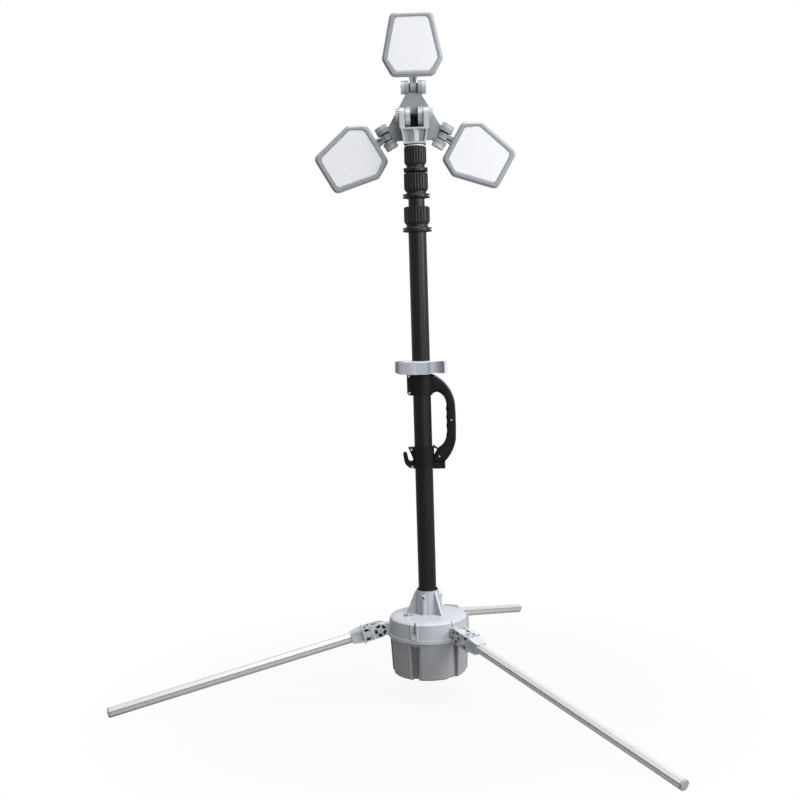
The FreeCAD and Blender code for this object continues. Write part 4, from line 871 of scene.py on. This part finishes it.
def make_plate():
    """The head plate with two tilt tongues and an ear on each side of every lamp's arm."""
    end_radius, end_half, above, reach = 63.8, 15.8, PLATE_DROP, LAMP_PIN_REACH
    corners = []
    for turn in (90, 210, 330):
        angle = math.radians(turn)
        for side in (-1, 1):
            corners.append((end_radius * math.cos(angle) - side * end_half * math.sin(angle),
                            end_radius * math.sin(angle) + side * end_half * math.cos(angle)))
    plate = upright("plate", rounded(corners, 5.0), -2.5, 2.5)
    for turn in LAMP_TURNS.values():
        web = block("web", (-11, -2.5, 55), (11, 9.5, 67.5))
        cut(web, rod("room", (-30, 0, reach), (30, 0, reach), 12.3, steps=64))
        for side in (-1, 1):
            near, far = span(side, 10.5, 20.0)
            join(web, rod("ear", (near, 0, reach), (far, 0, reach), 15.5, steps=64))
            join(web, block("root", (near, -2.2, 52), (far, 2.2, reach)))
        join(plate, turned(web, Matrix.Rotation(math.radians(turn), 4, "Y")))
    cut(plate, *around(lambda: rod("pin_way", (-60, 0, reach), (60, 0, reach), LAMP_BORE), 3, "Y"))
    soften(plate, 0.8)
    settle(turned(plate, plate_frame()), "plate_moulding", "plate_grey", "head", "head_plate")
    pin = -PLATE_MIDDLE
    tongues = []
    for side in (-1, 1):
        near, far = span(side, 9.0, 20.0)
        tongue = sideways("tongue", [(-2.2, above - 26), (pin - 2, above - 22), (pin - 8, above - 16),
                                     (pin - 10.4, above), (pin, above + 11), (-2.2, above + 22)], near, far)
        join(tongue, rod("eye", (near, pin, above), (far, pin, above), 11.2, steps=64))
        cut(tongue, rod("bolt_way", (-60, pin, above), (60, pin, above), HINGE_BORE))
        tongues.append(soften(tongue, 0.8))
    settle(turned(joined("tongues", tongues), plate_frame()), "plate_tongues", "plate_grey", "head",
           look="head_grey")
    # A black sheet on the plate's front between the tongues: painted shade for the deep shade that lies
    # there.
    shade_pad = soften(block("shade_pad", (-8.9, -3.6, above - 25), (8.9, -2.4, above + 3)), 0.4, segments=2)
    settle(turned(shade_pad, plate_frame()), "plate_painted_shade", "seal_black", "head")


def lamp_outline(shrink):
    """The lamps' six-sided outline, with its sides moved in."""
    near = LAMP_PIN_REACH + 23.6
    near_half, wide_half, far_half = 49 - shrink * 0.75, 71 - shrink, 48.5 - shrink * 0.85
    return [(near_half, near + shrink), (wide_half, near + 40), (far_half, near + 146 - shrink),
            (-far_half, near + 146 - shrink), (-wide_half, near + 40), (-near_half, near + shrink)]


def make_lamps():
    """The lamps: bezel, finned housing, lens, knuckle and hinge pin, made once and placed thrice."""
    front, bezel_back, back, reach = -12.0, 2.0, 18.0, LAMP_PIN_REACH
    bezel = upright("bezel", rounded(lamp_outline(0), 15.0), front, bezel_back)
    soften(bezel, 5.2, segments=1)
    cut(bezel, upright("opening", rounded(lamp_outline(10.4), 12.0), front - 5, bezel_back + 5))
    soften(bezel, 0.9, segments=2, angle=25)
    shell = upright("housing", rounded(lamp_outline(3.0), 12.0), bezel_back, back)
    soften(shell, 4.5, segments=4)
    for number in range(8):
        low = reach + 56 + 13 * number
        cut(shell, block("groove", (-34, back - 3.5, low), (34, back + 3, low + 5)))
    soften(shell, 0.8, angle=50)
    lens = upright("lens", rounded(lamp_outline(10.9), 11.8), front + 2.4, front + 5.0)
    join(lens, upright("field", rounded(lamp_outline(13.2), 10.0), front + 0.7, front + 4.0))
    soften(lens, 1.4)
    knuckle = rod("barrel", (-7.4, 0, reach), (7.4, 0, reach), 10.8, steps=64)
    join(knuckle, upright("stem", [(-7, reach), (7, reach), (7, reach + 13), (9.4, reach + 24),
                                   (-9.4, reach + 24), (-7, reach + 13)], -7, 7))
    cut(knuckle, rod("pin_way", (-30, 0, reach), (30, 0, reach), LAMP_BORE),
        block("slot", (0, -8, reach + 12), (4.2, -1.0, reach + 30)))
    soften(knuckle, 0.9)
    caps = []
    for side in (-1, 1):
        cap = rod("cap", (side * 20.05, 0, reach), (side * 29, 0, reach), 15.0, steps=72)
        near, far = span(side, 27.5, 31)
        cut(cap, block("groove", (near, -16, reach - 1.3), (far, 16, reach + 1.3)))
        caps.append(soften(cap, 1.2))
    caps.append(rod("shank", (-21, 0, reach), (21, 0, reach), 4.0))
    pin = joined("pin", caps)
    bushes = joined("bushes", [rod("bush", (side * 7.45, 0, reach), (side * 10.4, 0, reach), 10.0)
                               for side in (-1, 1)])
    for word, turn in LAMP_TURNS.items():
        settle(turned(copy_of(bushes), plate_frame(turn)), word + "_lamp_bushes", "seal_black", "head")
    discard(bushes)
    forms = [(bezel, "bezel", "bezel_grey"), (shell, "housing", "bezel_grey"), (lens, "lens", "lens_white"),
             (knuckle, "knuckle", "plate_grey"), (pin, "pin", "head_grey")]
    for form, part, slot in forms:
        for word, turn in LAMP_TURNS.items():
            piece = turned(copy_of(form), plate_frame(turn))
            body = "head" if part == "pin" else "lamp_" + word
            settle(piece, "%s_lamp_%s" % (word, part), slot, body, "lamp_%s_%s" % (part, word))
        discard(form)


# Finishes. The group gives values and a normal, and reads the coordinates it is given.

def new_group(name, inputs, outputs):
    tree = bpy.data.node_groups.new(name, "ShaderNodeTree")
    for label, kind, value in inputs:
        socket = tree.interface.new_socket(label, in_out="INPUT", socket_type=kind)
        socket.default_value = value
    for label, kind in outputs:
        tree.interface.new_socket(label, in_out="OUTPUT", socket_type=kind)
    return tree, tree.nodes.new("NodeGroupInput"), tree.nodes.new("NodeGroupOutput")


def surface_group():
    """Soft clouds, fine grain and their relief for moulded, painted and drawn surfaces."""
    tree, given, result = new_group(
        "surface_detail",
        [("Coordinates", "NodeSocketVector", (0, 0, 0)), ("Stretch", "NodeSocketVector", (1, 1, 1)),
         ("Grain Scale", "NodeSocketFloat", 900.0), ("Grain Depth", "NodeSocketFloat", 0.1)],
        [("Clouds", "NodeSocketFloat"), ("Grain", "NodeSocketFloat"), ("Marks", "NodeSocketFloat"),
         ("Normal", "NodeSocketVector")])
    spot = given.outputs["Coordinates"]

    def noise(where, scale, detail, roughness):
        return add_node(tree, "ShaderNodeTexNoise", {
            "Vector": where, "Scale": scale, "Detail": detail, "Roughness": roughness}).outputs[0]

    drawn = add_node(tree, "ShaderNodeVectorMath", {0: spot, 1: given.outputs["Stretch"]},
                     operation="MULTIPLY")
    grain = noise(drawn.outputs[0], given.outputs["Grain Scale"], 3.0, 0.55)
    marks = add_node(tree, "ShaderNodeMapRange", {"Value": noise(spot, 65.0, 6.0, 0.72), "From Min": 0.62,
                                                  "From Max": 0.78})
    relief = add_node(tree, "ShaderNodeBump", {"Strength": given.outputs["Grain Depth"],
                                               "Distance": 0.0004, "Height": grain})
    for name, socket in (("Clouds", noise(spot, 12.0, 4.0, 0.6)), ("Grain", grain),
                         ("Marks", marks.outputs[0]), ("Normal", relief.outputs[0])):
        tree.links.new(socket, result.inputs[name])
    return tree


def surface(slot):
    """One finish: cloudy colour, grain and rubbed marks over a plain tone."""
    look = FINISHES[slot]
    material = bpy.data.materials.new(slot)
    material.use_nodes = True
    tree = material.node_tree
    shader = tree.nodes["Principled BSDF"]
    where = add_node(tree, "ShaderNodeTexCoord").outputs["UV" if look.get("lengthwise") else "Object"]
    detail = add_node(tree, "ShaderNodeGroup", {
        "Coordinates": where, "Stretch": look.get("stretch", (1, 1, 1)),
        "Grain Scale": look.get("grain_scale", 900.0), "Grain Depth": look.get("grain_depth", 0.1)},
        node_tree=detail_group)
    tone, spread = look["colour"], look.get("clouds", 0.08)

    def opaque(colour, level=1.0):
        return (*(part * level for part in colour), 1)

    def mixed(under, over, share):
        return add_node(tree, "ShaderNodeMix", {"Factor": share, "A": under, "B": over},
                        data_type="RGBA").outputs["Result"]

    def part_of(output, share):
        return add_node(tree, "ShaderNodeMath", {0: detail.outputs[output], 1: share},
                        operation="MULTIPLY").outputs[0]

    paint = mixed(opaque(tone, 1 - spread), opaque(tone, 1 + spread), detail.outputs["Clouds"])
    grained = mixed(paint, opaque(look.get("grain_colour", tuple(part * 0.7 for part in tone))),
                    part_of("Grain", look.get("grain", 0.2)))
    mark_share = part_of("Marks", look.get("marks", 0.12))
    tree.links.new(mixed(grained, opaque(tone, 1.35), mark_share), shader.inputs["Base Color"])
    rough = look["rough"]
    polish = add_node(tree, "ShaderNodeMapRange", {"Value": detail.outputs["Grain"], "To Min": rough - 0.07,
                                                   "To Max": rough + 0.09})
    worn = add_node(tree, "ShaderNodeMath", {0: mark_share, 1: 0.5, 2: polish.outputs[0]},
                    operation="MULTIPLY_ADD")
    tree.links.new(worn.outputs[0], shader.inputs["Roughness"])
    tree.links.new(detail.outputs["Normal"], shader.inputs["Normal"])
    shader.inputs["Metallic"].default_value = look.get("metal", 0.0)
    shader.inputs["Specular IOR Level"].default_value = look.get("shine", 0.4)
    return material


FINISHES = {
    "housing_grey": dict(colour=(0.270, 0.273, 0.285), rough=0.5, clouds=0.07),
    "lid_grey": dict(colour=(0.385, 0.40, 0.432), rough=0.42, clouds=0.06),
    "leg_alloy": dict(colour=(0.47, 0.467, 0.463), rough=0.42, metal=0.4, clouds=0.04, lengthwise=True,
                      stretch=(3, 420, 1), grain_scale=1.0, grain=0.16, grain_depth=0.0, marks=0.0,
                      grain_colour=(0.40, 0.395, 0.39)),
    "cradle_alloy": dict(colour=(0.60, 0.62, 0.665), rough=0.5, metal=0.35, clouds=0.06,
                         stretch=(12, 12, 900), grain_scale=1.0, grain=0.4, grain_depth=0.12),
    # Dark alloy tone for the notch sheets: painted shade.
    "notch_painted_shade": dict(colour=(0.25, 0.255, 0.275), rough=0.55, metal=0.3, clouds=0.06,
                        stretch=(12, 12, 900), grain_scale=1.0, grain=0.4, grain_depth=0.1),
    # Darker, bluer alloy tone for the land sheets: painted shade.
    "land_painted_shade": dict(colour=(0.34, 0.385, 0.415), rough=0.5, metal=0.5, clouds=0.06,
                       stretch=(12, 12, 900), grain_scale=1.0, grain=0.4, grain_depth=0.12),
    "mast_black": dict(colour=(0.0050, 0.0046, 0.0058), shine=0.2, rough=0.33, clouds=0.2,
                       stretch=(420, 420, 3), grain_scale=1.0, grain=0.5, grain_depth=0.06,
                       grain_colour=(0.010, 0.009, 0.012), marks=0.25),
    "lock_black": dict(colour=(0.0060, 0.0062, 0.0090), shine=0.22, rough=0.36, clouds=0.15, marks=0.2),
    "handle_black": dict(colour=(0.0045, 0.0046, 0.0058), shine=0.13, rough=0.48, clouds=0.15, marks=0.2),
    "seal_black": dict(colour=(0.005, 0.005, 0.005), shine=0.13, rough=0.65, clouds=0.15),
    "head_grey": dict(colour=(0.385, 0.41, 0.43), rough=0.42, clouds=0.06),
    "plate_grey": dict(colour=(0.245, 0.257, 0.272), rough=0.5, clouds=0.07),
    "bezel_grey": dict(colour=(0.27, 0.285, 0.305), rough=0.45, clouds=0.05),
    "lens_white": dict(colour=(0.685, 0.695, 0.73), rough=0.32, clouds=0.015, grain=0.03, marks=0.02,
                       grain_depth=0.03),
    # Near-black for the sheets in the leg sockets' hollows: painted shade.
    "painted_hollow_shade": dict(colour=(0.035, 0.037, 0.042), shine=0.1, rough=0.6, clouds=0.1),
    # Pale glossy strip on the grip's edge: its lightness is a painted highlight.
    "painted_edge_highlight": dict(colour=(0.20, 0.20, 0.215), shine=0.7, rough=0.3, clouds=0.1),
    "washer_white": dict(colour=(0.72, 0.74, 0.76), rough=0.4, clouds=0.05),
    "steel": dict(colour=(0.55, 0.55, 0.56), rough=0.32, metal=1.0, clouds=0.08, grain_scale=500.0),
    "battery": dict(colour=(0.05, 0.05, 0.05), rough=0.6, clouds=0.15),
    "control_grey": dict(colour=(0.16, 0.165, 0.175), rough=0.5, clouds=0.12),
}

detail_group = surface_group()
materials = {slot: surface(slot) for slot in FINISHES}
studio()
for part in frame["record"]["subparts"]:
    node = frame["nodes"][part["node"]]
    node.data.materials.clear()
    node.data.materials.append(materials[part["material_slot"]])

make_bucket()
make_lid()
make_mast_socket()
make_mast_tubes()
for word, tube, body in LOCKS:
    make_lock(word, tube, body)
make_cradle()
make_clamps()
make_grip()
make_legs()
make_bracket()
make_tilt_bolt()
make_plate()
make_lamps()
